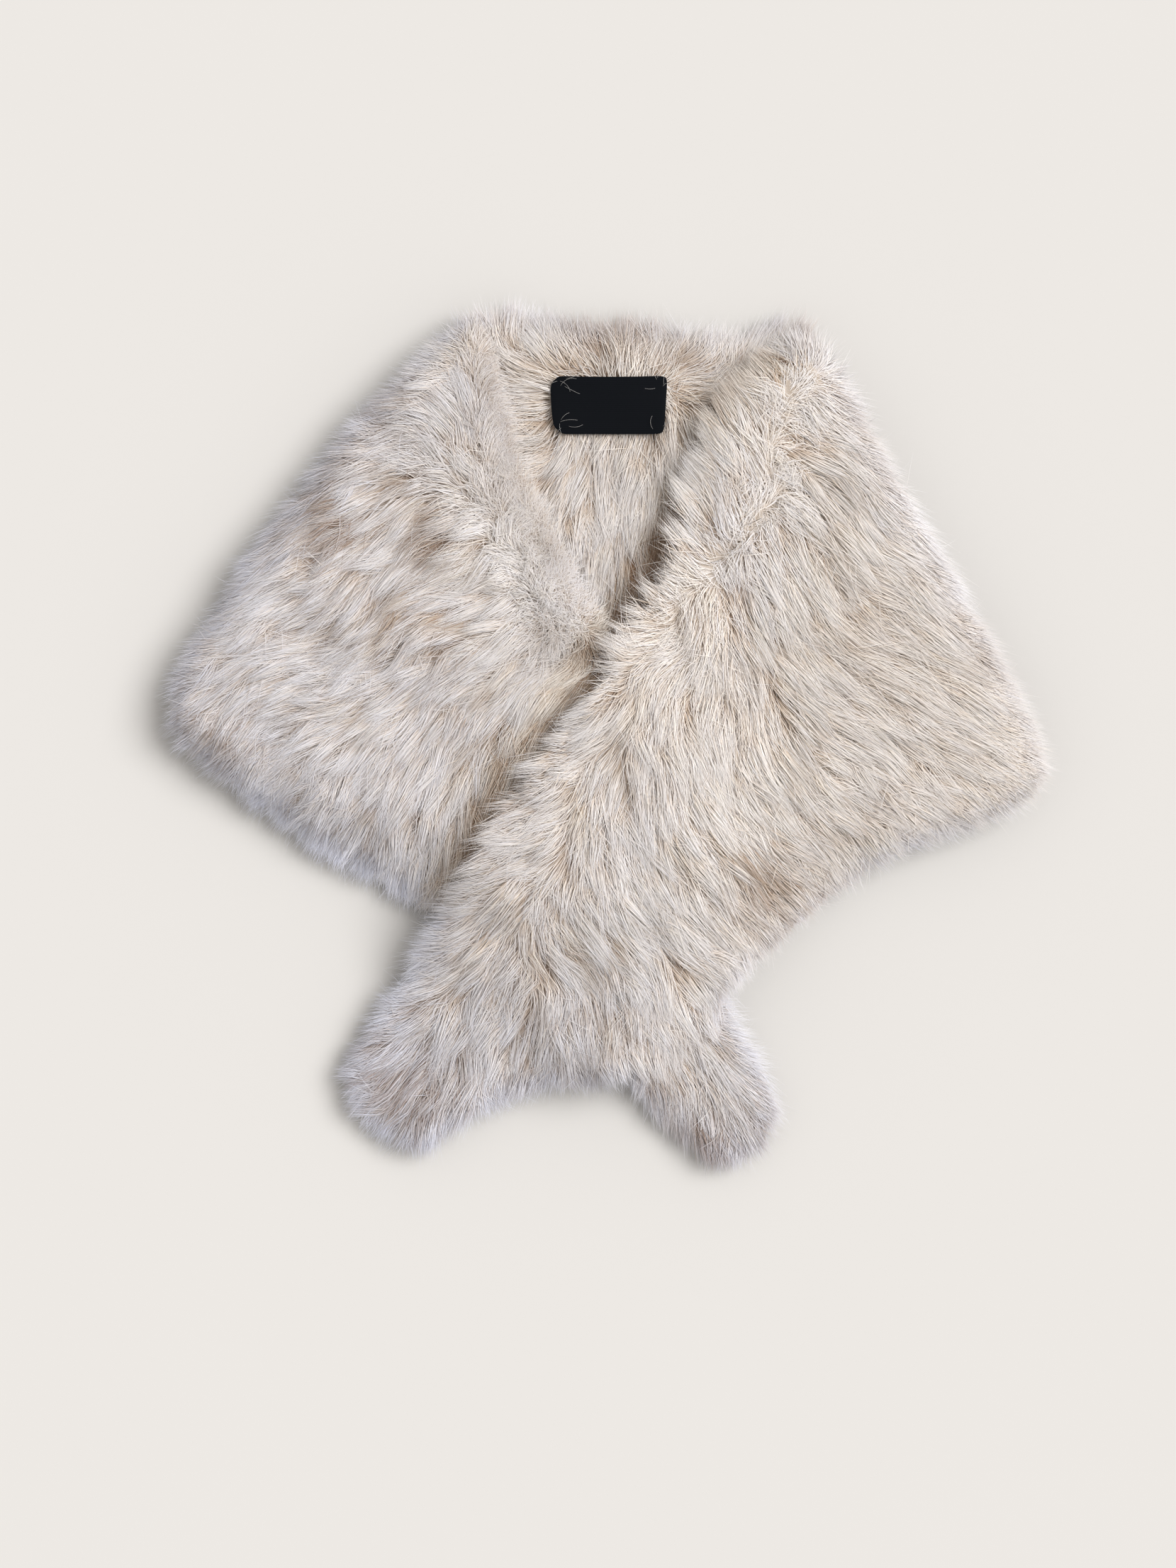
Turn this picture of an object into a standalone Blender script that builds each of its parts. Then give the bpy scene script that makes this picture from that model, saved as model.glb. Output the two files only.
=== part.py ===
"""Fur collar wrap: a crescent-cut stole, furred on both faces, laid flat with its tapered ends crossed.

Lengths are millimetres in the tables and metres in the scene. The wrap lies on z = 0 and is seen from +Z with
+Y towards the nape. Left and right are -X and +X. The stole is one strip in five stretches. The back stretch
lies lowest, inner face up. At each shoulder fold the strip turns over into a front. The left front crosses
under the right one and ends in the right tail. The right front lies on top and ends in the left tail.
Each solid is the reach of the pile, so its rim is where the hair tips end.
"""

import math
from collections import namedtuple

import bmesh
import bpy
import numpy as np
from mathutils import Vector
from mathutils.bvhtree import BVHTree

MM = 0.001

# Thickness of each stretch with the pile on both faces.
BACK_THICKNESS = 18.0
LEFT_THICKNESS = 20.0
RIGHT_THICKNESS = 22.0

# Free edges and corners round off over this length, in plan and in height.
ROUNDING = 24.0
# The rounding of a narrow end stays under this share of the strip's width.
MOST_ROUNDED = 0.42
# Stretches of the same strip, and layers that lie on each other, are this far apart.
SEAM_GAP = 0.3
# The height of a rim within its thickness: 0.5 on a free edge, 1 and 0 on the two layers of a fold.
FREE_RIM = 0.5
FOLD_UNDER = 1.0
FOLD_OVER = 0.0
# A fold's rim returns to a free edge's over this length.
FOLD_RUN = 60.0

# Mesh density.
CORNER_STEPS = 4
ROW_STEP = 18.0
MIDDLE_COLUMNS = 9
SUPPORT_SAMPLES = 5
DRAPE_PASSES = 12
# How far the strip sinks in each pass where nothing holds it up.
DRAPE_SAG = 0.5
# Metres within which two corners of a solid are one.
MERGE_DISTANCE = 0.00001

# The woven label, sewn to the inner face at the nape.
LABEL_WIDTH = 62.0
LABEL_HEIGHT = 31.0
LABEL_THICKNESS = 1.2
LABEL_CORNER = 3.0
LABEL_CENTRE = (-0.9, 181.2)
LABEL_CORNER_STEPS = 4

# A section runs straight from the neck edge to the hem. Its middle is bowed ahead along the strip by `bow`.
Section = namedtuple("Section", "neck_x neck_y hem_x hem_y bow")

LEFT_FOLD = Section(-69, 239, -245, 22, -15)
RIGHT_FOLD = Section(107, 230, 243, -18, -2)

BACK_SECTIONS = (
    LEFT_FOLD,
    Section(-30, 229, -130, -30, -5),
    Section(12, 225, 0, -52, 0),
    Section(64, 219, 130, -44, 1),
    RIGHT_FOLD._replace(bow=-RIGHT_FOLD.bow),
)

LEFT_SECTIONS = (
    LEFT_FOLD,
    Section(-58, 202, -233, -4, -6),
    Section(-48, 160, -196, -30, 0),
    Section(-31, 122, -160, -57, 0),
    Section(-9, 80, -118, -78, 0),
    Section(16, 30, -76, -102, 0),
    Section(38, -30, -40, -134, 0),
    Section(56, -92, -8, -166, 0),
    Section(66, -140, 14, -193, 0),
    Section(86, -176, 34, -207, 0),
    Section(98, -212, 54, -238, 0),
)
RIGHT_TAIL_START = 8

RIGHT_SECTIONS = (
    RIGHT_FOLD,
    Section(84, 208, 227, -33, -1),
    Section(64, 184, 196, -49, 0),
    Section(45, 142, 160, -65, 0),
    Section(26, 96, 128, -83, 0),
    Section(2, 57, 100, -107, 0),
    Section(-24, 20, 71, -128, 0),
    Section(-48, -12, 46, -152, 0),
    Section(-66, -44, 14, -177, 0),
    Section(-84, -74, -14, -188, 0),
    Section(-99, -100, -46, -190, 0),
    Section(-112, -126, -72, -204, 0),
    Section(-133, -150, -88, -215, 0),
    Section(-153, -182, -109, -230, 0),
)
LEFT_TAIL_START = 11

Strip = namedtuple("Strip", "plan swell rim_height starts")


def clear_scene():
    for item in list(bpy.data.objects):
        bpy.data.objects.remove(item, do_unlink=True)


def make_material(name, colour, roughness, sheen):
    material = bpy.data.materials.new(name)
    material.use_nodes = True
    shader = material.node_tree.nodes["Principled BSDF"]
    shader.inputs["Base Color"].default_value = (*colour, 1.0)
    shader.inputs["Roughness"].default_value = roughness
    shader.inputs["Metallic"].default_value = 0.0
    shader.inputs["Sheen Weight"].default_value = sheen
    return material


def spline(table, place):
    """Reads a smooth curve through the table's rows at these fractional row numbers."""
    last = len(table) - 1
    low = np.clip(np.floor(place).astype(int), 0, last - 1)
    t = (place - low)[:, None]
    before = table[np.clip(low - 1, 0, last)]
    start = table[low]
    end = table[low + 1]
    after = table[np.clip(low + 2, 0, last)]
    straight = 2 * start + (end - before) * t
    curved = (2 * before - 5 * start + 4 * end - after) * t**2
    closing = (3 * start - before - 3 * end + after) * t**3
    return 0.5 * (straight + curved + closing)


def along_strip(sections):
    """Distance along the strip's middle at each section."""
    table = np.array(sections, float)
    middle = (table[:, 0:2] + table[:, 2:4]) / 2
    steps = np.linalg.norm(np.diff(middle, axis=0), axis=1)
    return np.concatenate([[0.0], np.cumsum(steps)])


def corner_angles():
    return np.linspace(0.0, math.pi / 2, CORNER_STEPS + 1)


def end_rounding(section):
    width = math.dist(section[0:2], section[2:4])
    return min(ROUNDING, MOST_ROUNDED * width)


def row_distances(length, first_rounding, last_rounding, kept):
    """Where the strip has a row: close together in its rounded ends, evenly spaced between, and at `kept`."""
    first = first_rounding * (1 - np.cos(corner_angles()))
    last = length - last_rounding * (1 - np.cos(corner_angles()))[::-1]
    count = math.ceil((last[0] - first[-1]) / ROW_STEP)
    middle = np.linspace(first[-1], last[0], count + 1)[1:-1]
    for place in kept:
        middle[np.argmin(np.abs(middle - place))] = place
    return np.concatenate([first, middle, last])


def columns_across(width, inset):
    """Distances from the neck edge of the columns of one row, and how far the pile has swelled at each."""
    span = width - 2 * inset
    rounding = min(ROUNDING, MOST_ROUNDED * span)
    edge = rounding * (1 - np.cos(corner_angles()))
    middle = np.linspace(rounding, span - rounding, MIDDLE_COLUMNS + 1)[1:-1]
    swell = np.sin(corner_angles())
    distance = np.concatenate([edge, middle, span - edge[::-1]]) + inset
    return distance, np.concatenate([swell, np.ones(len(middle)), swell[::-1]])


def swell_near_end(distance, rounding):
    """How far the pile has swelled at this distance in from a rounded end."""
    return np.sqrt(1 - (1 - np.clip(distance / rounding, 0, 1)) ** 2)


def rim_heights(distance, length, rim_start, rim_end):
    """The rim's height at each row: a fold's at a folded end of the strip, and a free edge's elsewhere."""
    near_start = np.clip(1 - distance / FOLD_RUN, 0, 1)
    near_end = np.clip(1 - (length - distance) / FOLD_RUN, 0, 1)
    return FREE_RIM + (rim_start - FREE_RIM) * near_start + (rim_end - FREE_RIM) * near_end


def lay_row(row, inset, travel):
    """Places one row's columns in plan, `inset` in from both edges, with their swell from the side edges."""
    neck = row[0:2]
    hem = row[2:4]
    width = math.dist(neck, hem)
    across, swell = columns_across(width, inset)
    share = (across / width)[:, None]
    down = (hem - neck) / width
    ahead = np.array([-down[1], down[0]])
    ahead *= np.sign(ahead @ travel)
    return neck + (hem - neck) * share + ahead * row[4] * 4 * share * (1 - share), swell


def lay_strip(sections, rim_start, rim_end, kept_sections=()):
    """Works out the strip's rows and columns in plan, the swell of its pile and the height of its rim."""
    table = np.array(sections, float)
    lengths = along_strip(sections)
    first = end_rounding(sections[0])
    last = end_rounding(sections[-1])
    kept = [lengths[i] for i in kept_sections]
    distance = row_distances(lengths[-1], first, last, kept)
    rows = spline(table, np.interp(distance, lengths, np.arange(len(table))))
    travel = (table[1, 0:2] + table[1, 2:4] - table[0, 0:2] - table[0, 2:4]) / 2
    start_swell = swell_near_end(distance, first)
    end_swell = swell_near_end(lengths[-1] - distance, last)
    insets = np.maximum(first * (1 - start_swell), last * (1 - end_swell))
    laid = [lay_row(row, inset, travel) for row, inset in zip(rows, insets)]
    plan = np.array([row_plan for row_plan, _ in laid])
    swell = np.array([row_swell for _, row_swell in laid]) * (start_swell * end_swell)[:, None]
    rim = rim_heights(distance, lengths[-1], rim_start, rim_end)
    starts = [0] + [int(np.argmin(np.abs(distance - place))) for place in kept]
    return Strip(plan, swell, rim, starts)


def height_at(trees, x, y):
    """The top of the layers below a point, or 0 where it lies on the ground."""
    highest = 0.0
    for tree in trees:
        hit = tree.ray_cast(Vector((x * MM, y * MM, 1.0)), Vector((0.0, 0.0, -1.0)))[0]
        if hit is not None:
            highest = max(highest, hit.z / MM)
    return highest


def neighbour(grid, i, j):
    rows, columns = grid.shape[:2]
    return grid[min(max(i, 0), rows - 1), min(max(j, 0), columns - 1)]


def highest_near(plan, trees, i, j):
    """The highest support found on the way from a grid point to its neighbours."""
    here = plan[i, j]
    highest = height_at(trees, *here)
    for di in (-1, 0, 1):
        for dj in (-1, 0, 1):
            for share in np.linspace(0, 1, SUPPORT_SAMPLES)[1:]:
                x, y = here + (neighbour(plan, i + di, j + dj) - here) * share
                highest = max(highest, height_at(trees, x, y))
    return highest


def drape(plan, trees):
    """Height of the strip's underside: on what lies below, sloping softly down past its edges."""
    rows, columns = plan.shape[:2]
    if not trees:
        return np.zeros((rows, columns))
    lowest = np.array([[highest_near(plan, trees, i, j) for j in range(columns)] for i in range(rows)])
    lowest[lowest > 0] += SEAM_GAP
    height = lowest.copy()
    for _ in range(DRAPE_PASSES):
        padded = np.pad(height, 1, mode="edge")
        around = (padded[:-2, 1:-1] + padded[2:, 1:-1] + padded[1:-1, :-2] + padded[1:-1, 2:]) / 4
        height = np.maximum(lowest, around - DRAPE_SAG)
    return height


def close_up(name, top, bottom, material):
    """Makes one closed solid from a top and a bottom grid that meet at their rims."""
    rows, columns = top.shape[:2]
    mesh = bmesh.new()
    upper = [[mesh.verts.new(top[i, j] * MM) for j in range(columns)] for i in range(rows)]
    lower = [[mesh.verts.new(bottom[i, j] * MM) for j in range(columns)] for i in range(rows)]
    for i in range(rows - 1):
        for j in range(columns - 1):
            mesh.faces.new((upper[i][j], upper[i][j + 1], upper[i + 1][j + 1], upper[i + 1][j]))
            mesh.faces.new((lower[i][j], lower[i + 1][j], lower[i + 1][j + 1], lower[i][j + 1]))
    for i in (0, rows - 1):
        for j in range(columns - 1):
            mesh.faces.new((upper[i][j], lower[i][j], lower[i][j + 1], upper[i][j + 1]))
    bmesh.ops.remove_doubles(mesh, verts=mesh.verts, dist=MERGE_DISTANCE)
    bmesh.ops.dissolve_degenerate(mesh, edges=mesh.edges, dist=MERGE_DISTANCE)
    item = add_solid(name, mesh, material)
    item.data.shade_smooth()
    return item


def add_solid(name, mesh, material):
    """Turns the mesh's faces outwards and puts it in the scene under this name."""
    bmesh.ops.recalc_face_normals(mesh, faces=mesh.faces)
    data = bpy.data.meshes.new(name)
    mesh.to_mesh(data)
    mesh.free()
    data.materials.append(material)
    item = bpy.data.objects.new(name, data)
    bpy.context.scene.collection.objects.link(item)
    return item


def pull_back(plan, row, inner_row):
    """Moves a seam's row half the seam gap back from the seam."""
    step = plan[inner_row] - plan[row]
    length = np.linalg.norm(step, axis=1, keepdims=True)
    plan[row] += step / length * SEAM_GAP / 2


def build_stretches(names, strip, thickness, lower, material):
    """Cuts a strip into its stretches and makes each a solid that lies on the `lower` objects."""
    trees = [BVHTree.FromObject(item, bpy.context.evaluated_depsgraph_get()) for item in lower]
    underside = drape(strip.plan, trees)
    rim = strip.rim_height[:, None]
    base = underside + thickness * rim * (1 - strip.swell)
    crown = underside + thickness * (rim + (1 - rim) * strip.swell)
    ends = strip.starts[1:] + [len(strip.plan) - 1]
    made = []
    for name, start, end in zip(names, strip.starts, ends):
        rows = slice(start, end + 1)
        plan = strip.plan[rows].copy()
        if start > 0:
            pull_back(plan, 0, 1)
        if end < len(strip.plan) - 1:
            pull_back(plan, -1, -2)
        top = np.dstack([plan, crown[rows]])
        bottom = np.dstack([plan, base[rows]])
        made.append(close_up(name, top, bottom, material))
    return made


def label_outline():
    """The label's outline in plan, anticlockwise, with rounded corners."""
    half_width = LABEL_WIDTH / 2 - LABEL_CORNER
    half_height = LABEL_HEIGHT / 2 - LABEL_CORNER
    outline = []
    for quarter, (side_x, side_y) in enumerate(((1, 1), (-1, 1), (-1, -1), (1, -1))):
        for step in range(LABEL_CORNER_STEPS + 1):
            angle = (quarter + step / LABEL_CORNER_STEPS) * math.pi / 2
            x = LABEL_CENTRE[0] + side_x * half_width + LABEL_CORNER * math.cos(angle)
            y = LABEL_CENTRE[1] + side_y * half_height + LABEL_CORNER * math.sin(angle)
            outline.append((x, y))
    return outline


def build_label(back, material):
    """A thin woven patch, moved out from the back stretch's upper face."""
    outline = label_outline()
    tree = BVHTree.FromObject(back, bpy.context.evaluated_depsgraph_get())
    seat = max(height_at([tree], x, y) for x, y in outline) + SEAM_GAP
    mesh = bmesh.new()
    face = mesh.faces.new([mesh.verts.new((x * MM, y * MM, seat * MM)) for x, y in outline])
    raised = bmesh.ops.extrude_face_region(mesh, geom=[face])["geom"]
    moved = [item for item in raised if isinstance(item, bmesh.types.BMVert)]
    bmesh.ops.translate(mesh, verts=moved, vec=(0, 0, LABEL_THICKNESS * MM))
    return add_solid("label", mesh, material)


def centre_in_plan(items):
    """Moves every solid alike, so that the middle of the wrap's outline is the origin."""
    corners = np.array([vertex.co[:2] for item in items for vertex in item.data.vertices])
    middle = (corners.min(axis=0) + corners.max(axis=0)) / 2
    for item in items:
        for vertex in item.data.vertices:
            vertex.co.x -= middle[0]
            vertex.co.y -= middle[1]


def build():
    clear_scene()
    fur = make_material("ivory_fur", (0.72, 0.66, 0.60), 0.85, 0.4)
    satin = make_material("black_satin", (0.012, 0.014, 0.016), 0.45, 0.1)
    back_strip = lay_strip(BACK_SECTIONS, FOLD_UNDER, FOLD_UNDER)
    left_strip = lay_strip(LEFT_SECTIONS, FOLD_OVER, FREE_RIM, (RIGHT_TAIL_START,))
    right_strip = lay_strip(RIGHT_SECTIONS, FOLD_OVER, FREE_RIM, (LEFT_TAIL_START,))
    back = build_stretches(["back_collar"], back_strip, BACK_THICKNESS, [], fur)
    left = build_stretches(["left_front", "right_tail"], left_strip, LEFT_THICKNESS, back, fur)
    right = build_stretches(["right_front", "left_tail"], right_strip, RIGHT_THICKNESS, back + left, fur)
    label = build_label(back[0], satin)
    centre_in_plan(back + left + right + [label])


build()
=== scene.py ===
"""Looks of the fur collar wrap: long pile on a backing skin, a satin label, a pale floor and soft light.

The wrap lies on z = 0 with the nape towards +Y. Plan work is in millimetres, and meshes are in metres.
Three strips lie on each other: the back, the left one over it and the right one on top. Each stretch of a
strip gets a skin, which is the backing and the dense undercoat, and the pile is made of tapered strands
rooted in it. The CAD solids are the reach of the pile, so strands lie between a strip's underside and top.
"""

import math
from collections import namedtuple

import bmesh
import bpy
import numpy as np
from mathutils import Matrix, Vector
from mathutils.bvhtree import BVHTree
from mathutils.kdtree import KDTree


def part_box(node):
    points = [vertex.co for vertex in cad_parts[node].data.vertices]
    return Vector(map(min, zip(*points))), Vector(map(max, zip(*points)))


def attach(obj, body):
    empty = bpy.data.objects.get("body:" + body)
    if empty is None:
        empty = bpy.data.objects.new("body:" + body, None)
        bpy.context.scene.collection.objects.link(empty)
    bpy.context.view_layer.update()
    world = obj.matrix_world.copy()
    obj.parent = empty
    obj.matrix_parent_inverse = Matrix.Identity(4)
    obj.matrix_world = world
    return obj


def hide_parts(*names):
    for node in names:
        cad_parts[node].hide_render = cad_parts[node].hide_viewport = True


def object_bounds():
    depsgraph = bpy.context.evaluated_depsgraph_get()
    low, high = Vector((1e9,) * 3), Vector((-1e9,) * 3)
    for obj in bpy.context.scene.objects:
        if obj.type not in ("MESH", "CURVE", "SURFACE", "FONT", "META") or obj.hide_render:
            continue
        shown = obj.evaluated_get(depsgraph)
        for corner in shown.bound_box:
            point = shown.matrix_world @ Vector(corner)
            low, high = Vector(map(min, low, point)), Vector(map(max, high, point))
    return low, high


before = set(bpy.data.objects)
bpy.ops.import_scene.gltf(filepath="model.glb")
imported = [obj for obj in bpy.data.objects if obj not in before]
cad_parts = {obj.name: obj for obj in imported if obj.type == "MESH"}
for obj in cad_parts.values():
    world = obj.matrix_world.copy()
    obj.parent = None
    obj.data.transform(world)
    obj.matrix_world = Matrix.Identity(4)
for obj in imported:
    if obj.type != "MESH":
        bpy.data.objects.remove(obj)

CAD_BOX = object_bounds()

MM = 0.001
SEED = 7
TINY = 1e-6

# The strips, lowest first, and the CAD nodes along each.
STRIPS = {
    "back": ("back_collar",),
    "left": ("left_front", "right_tail"),
    "right": ("right_front", "left_tail"),
}

# The plan map of each strip's heights and flow: its cells and margin, how many cells outwards heights are
# carried, how often fields are smoothed, and where the rays that read the heights start.
GRID_STEP = 2.0
GRID_MARGIN = 40.0
FILL_RINGS = 16
DEPTH_PASSES = 2
SMOOTH_PASSES = 4
RAYS_DOWN_FROM = 200.0
RAYS_UP_FROM = -50.0

# Skins: how far they stay inside the reach of the pile, over which run from the edge, their share of its
# height, how far they drop away from its edge, and how close corners are merged.
SKIN_INSET = 12.0
SKIN_INSET_RUN = 34.0
SKIN_SHARE = 0.2
SKIN_DROP = 2.0
SKIN_MERGE = 0.02

# Strands: lengths and widths vary between two shares, widths also with how far a strand stands out of its
# tuft. The taper is the share of the width at each step. No piece has more than MOST_STRANDS.
STRAND_LENGTH = 34.0
STRAND_LENGTHS = (0.8, 1.12)
STRAND_WIDTHS = (0.75, 1.1)
CREST_WIDTHS = (0.85, 1.15)
STRAND_STEPS = 2
STRAND_TAPER = (0.9, 0.85, 0.0)
STRAND_TWIST = 0.7
MOST_STRANDS = 66000

# Roots stay this far inside the outline, and go this deep under the layer above. They lie at one share of the
# strip's height, strands rise from them as a power of their length, and none lies lower than LOWEST.
ROOT_INSET = 10.0
COVERED = 8.0
ROOT_HEIGHT = 0.58
RISE_CURVE = 2
LOWEST = 0.4

# Stray strands leave their tuft: their share of all, and how they differ.
STRAY_SHARE = 0.08
STRAY_LOOSE = 2.6
STRAY_PULL = 0.1
STRAY_WIDTH = 0.8
STRAY_TIP = 0.12

# The rim is the band along an outline. A fan of strands covers it, from roots in a narrower band, which may
# lie deeper under the layer above: the shares of the height they start at, how far they sag, how round the
# fan is, and how its strands and shades differ. Its cooler tint is painted shade.
RIM_BAND = 24.0
SOFT_RIM_BAND = 32.0
EDGE_STEP = 2.0
RIM_ROOTS = 9.0
RIM_COVERED = 30.0
RIM_HALF_HEIGHT = 5.5
RIM_SHARES = (0.12, 0.74)
RIM_SAG = -0.02
RIM_SPREAD = 0.12
RIM_ROUND = 12.0
RIM_RISE_CURVE = 1.5
RIM_FINER = 0.15
RIM_LESS_PULL = 0.5
RIM_CALMER = 0.4
RIM_SHADE_WARMTH = -0.30

# Along the rim the flow turns outwards, less where it leaves the strip already.
OUTWARD = 0.75
OUTWARD_LESS = 0.55
OUTWARD_START = 8.0
LEAVING_BAND = (-0.2, 0.45)

# Ridges: how far their upright pile reaches from the line, and how it differs from the rest.
# Its lower tone is painted shade, set against the key light that falls full on the ridge.
RIDGE_BAND = (7.0, 15.0)
RIDGE_THICK = 24.0
RIDGE_LOOSE = 3.0
RIDGE_LESS_PULL = 0.9
RIDGE_SHORTER = 0.6
RIDGE_FINER = 0.45
RIDGE_CALMER = 0.6
RIDGE_SHADE_TONE = -0.16
RIDGE_TIP = 0.1
RIDGE_OVERHANG = 3.5

# Shading: how far normals turn outwards along the rim, down the hollows and around each tuft, how little they
# may face up at the rim, and what the rim, the edge over a layer and the ridges take off.
RIM_TURN = 0.45
RIDGE_LESS_TURN = 0.8
LEAST_FACING = 0.58
LAYER_TURN_SHARE = 0.35
RELIEF_TURN = 1.3
TUFT_ROUNDNESS = 0.45
RIM_LESS_ROUND = 0.6
RIDGE_LESS_ROUND = 0.9

# Towards the light the pile looks softer: where that starts and is complete along X, and what it takes off.
# There the tones vary less, which is painted light, and the rim is painted darker, as painted shade.
SOFTER_BAND = (-10.0, 200.0)
SOFTER_TONES = 0.55
SOFTER_TUFTS = 0.8
SOFTER_RELIEF = 0.75
SOFTER_RIM = 0.85
SOFTER_TURNS = 0.4
SOFTER_LONGER = 0.15
LIT_RIM_SHADE_TONE = -0.14

# How much a strand's end varies from its tuft's, and how much further out a stray one ends.
STRAND_OVERHANG = 2.2
STRAY_OVERHANG = (1.0, 5.0)
# Tufts that hang over a lower strip may end this much further out.
LAYER_OVERHANG = 11.0
LOCK_OVERHANG = 9.0
# No strand is drawn in to less than this share of its length.
SHORTEST = 0.15
# Over the lower tail the topmost strip's pile reaches further still: middle and radius of that place.
TAIL_OVERHANG = 24.0
TAIL_JUNCTION = (22.0, -158.0)
TAIL_RADIUS = 42.0
# How deep inside its outline a strip starts and is fully there to hold up the one over it, and to count as
# lying under it.
LAYER_EDGE = (2.0, 16.0)
UNDER_BAND = (4.0, 16.0)
# How steeply pile that hangs over an edge drops.
DROOP = 0.45
# Stretches of rim whose pile reaches further out or less far: x, y, radius and how much, in millimetres.
REACH_SPOTS = (
    (20, 226, 75, 6.0), (112, 205, 48, 7.5), (185, -88, 34, -7.5), (125, -118, 40, -8.0),
    (-132, -210, 26, 7.0), (222, 30, 60, 1.5), (-165, -62, 30, 4.0), (-118, -92, 28, 5.0),
    (40, -208, 22, 9.0),
)

# The same where the topmost strip ends over a lower one.
LAYER_REACH_SPOTS = ((-10, 45, 34, -7.0), (-42, -10, 40, -12.0), (-66, -64, 34, -9.0), (50, 168, 32, 8.0))

# Tufts of strands whose tips meet, and locks of tufts. Each has a place within its cell and a length between
# two shares. The pull towards a tuft and a lock grows along a strand, as a power of the share of its length.
TUFT_SPACING = 6.2
TUFT_PULL = 0.82
TUFT_PULLS = (0.7, 1.1)
TUFT_TURN = math.radians(15)
TUFT_PLACES = (0.12, 0.88)
TUFT_LENGTHS = (0.8, 1.15)
LOCK_SPACING = 17.0
LOCK_PULL = 0.3
LOCK_TURN = math.radians(15)
PULL_CURVE = 0.7
OFFSET_CURVE = 1.6
LOCK_CURVE = 1.3

# The height of a tip in its coat's range: by its tuft, by the strand, by its lock, and how round a tuft is.
TIP_BY_TUFT = 0.55
TIP_BY_STRAND = 0.45
TIP_BY_LOCK = 0.08
TUFT_CROWN = 0.1

# The coats of the pile: roots for each mm2 of the face, of the fan along the rim and of a ridge. Tips lie
# between two shares of the strip's height, and end between two distances outside its reach.
Coat = namedtuple("Coat", "face rim ridge width length turn tips overhang tone")
COATS = (
    Coat(0.25, 0.45, 0.0, 0.8, 0.8, math.radians(7), (0.62, 0.80), (-9.0, -3.0), -0.14),
    Coat(1.20, 1.20, 1.6, 0.42, 1.0, math.radians(10), (0.70, 1.06), (-7.0, 1.0), 0.03),
    Coat(0.15, 0.80, 0.0, 0.26, 1.15, math.radians(17), (0.45, 1.0), (0.0, 6.0), 0.12),
)

# Brightness and warmth of the pile, from 0 to MOST_SHADE, and how much they vary. Warmth also changes with
# each millimetre along X and Y, warmer towards the key light and cooler away from it, which is painted light
# and shade, and in a parting with the tone that it takes off.
TONE = 0.67
TUFT_TONE = 0.065
LOCK_TONE = 0.045
STRAND_TONE = 0.13
CREST_TONE = 0.26
WARMTH = 0.675
STRAND_WARMTH = 0.095
PAINTED_LIGHT_WARMTH_X = 0.001
PAINTED_LIGHT_WARMTH_Y = 0.0005
PARTING_SHADE_WARMTH = 0.9
MOST_SHADE = 0.999

# Where combed headings meet, the flow is less calm: strands are looser, shorter and paler, and the dark root
# end of their colours is left out.
CALM_BAND = (0.2, 0.8)
UNCALM_LOOSE = 2.5
UNCALM_LENGTH = 0.6
UNCALM_TONE = 0.09
UNCALM_WARMTH = 0.04
UNCALM_START = 0.42

# Stretches that are darker or paler: x, y and radius in millimetres, tone and warmth added at the middle.
# Several are painted shade, as on the left tail, the right tail's lower left and the fold above the label,
# and several are painted light that lifts shaded hems and rims.
PAINTED_LIGHT_AND_TONE_SPOTS = (
    (-104, -178, 27, -0.46, -0.36), (-128, -214, 22, 0.34, -0.1), (72, -192, 36, -0.12, -0.13),
    (-40, -160, 50, -0.08, -0.07), (54, -209, 17, -0.25, -0.27), (5, 206, 26, -0.36, 0.0),
    (-75, 35, 60, -0.05, -0.07), (130, 110, 90, -0.04, -0.07), (175, 0, 80, -0.03, -0.08),
    (-150, 90, 70, -0.12, -0.08), (-16, 80, 17, 0.26, -0.2), (112, 55, 50, -0.10, 0.03),
    (-35, -150, 50, -0.06, -0.07), (205, -45, 26, 0.10, -0.07), (165, -72, 26, 0.12, -0.07),
    (70, -68, 34, -0.29, 0.0), (95, -85, 24, -0.10, 0.0), (82, 120, 20, 0.24, -0.13),
    (96, 180, 20, 0.12, -0.13), (66, 98, 18, 0.12, -0.13), (-132, 122, 17, -0.40, -0.05),
    (-110, 170, 45, -0.12, -0.13), (-62, 228, 15, -0.20, -0.07), (106, 150, 28, -0.02, -0.07),
    (-62, 165, 20, 0.03, -0.1), (-75, 60, 34, -0.14, -0.05), (-195, 8, 28, -0.24, -0.08),
    (128, -24, 20, -0.12, 0.0), (150, -62, 24, 0.12, -0.1), (26, -204, 22, -0.32, 0.0),
    (-85, -105, 34, 0.34, 0.0), (-45, -150, 20, 0.14, 0.0), (14, -32, 20, 0.34, -0.05),
    (-38, 72, 30, 0.17, 0.04), (-45, 118, 16, 0.22, 0.0), (-14, 30, 18, 0.28, -0.08),
    (138, 125, 22, 0.20, -0.05), (168, 100, 28, 0.16, -0.05), (0, 150, 28, 0.12, -0.08),
    (45, 152, 16, 0.22, 0.0), (-118, -58, 26, 0.16, -0.05), (-45, -30, 14, -0.22, 0.0),
    (-77, 117, 15, -0.36, 0.03), (-103, 118, 13, 0.12, 0.0), (95, 206, 8, -0.26, -0.05),
    (-128, -84, 28, 0.14, 0.03), (105, 122, 16, -0.14, 0.05), (-170, -30, 45, 0.0, -0.14),
    (-125, -72, 40, 0.0, -0.14), (12, -66, 26, 0.08, 0.0), (-168, -52, 26, 0.36, 0.0),
    (-132, -62, 26, 0.16, 0.0), (-104, -64, 24, 0.14, 0.0), (48, 180, 12, 0.16, -0.03),
)

# Soft hollows in the pile's surface.
RELIEF_DEPTH = 3.5
RELIEF_PASSES = 26
RELIEF_SPREAD = 0.35
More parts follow.
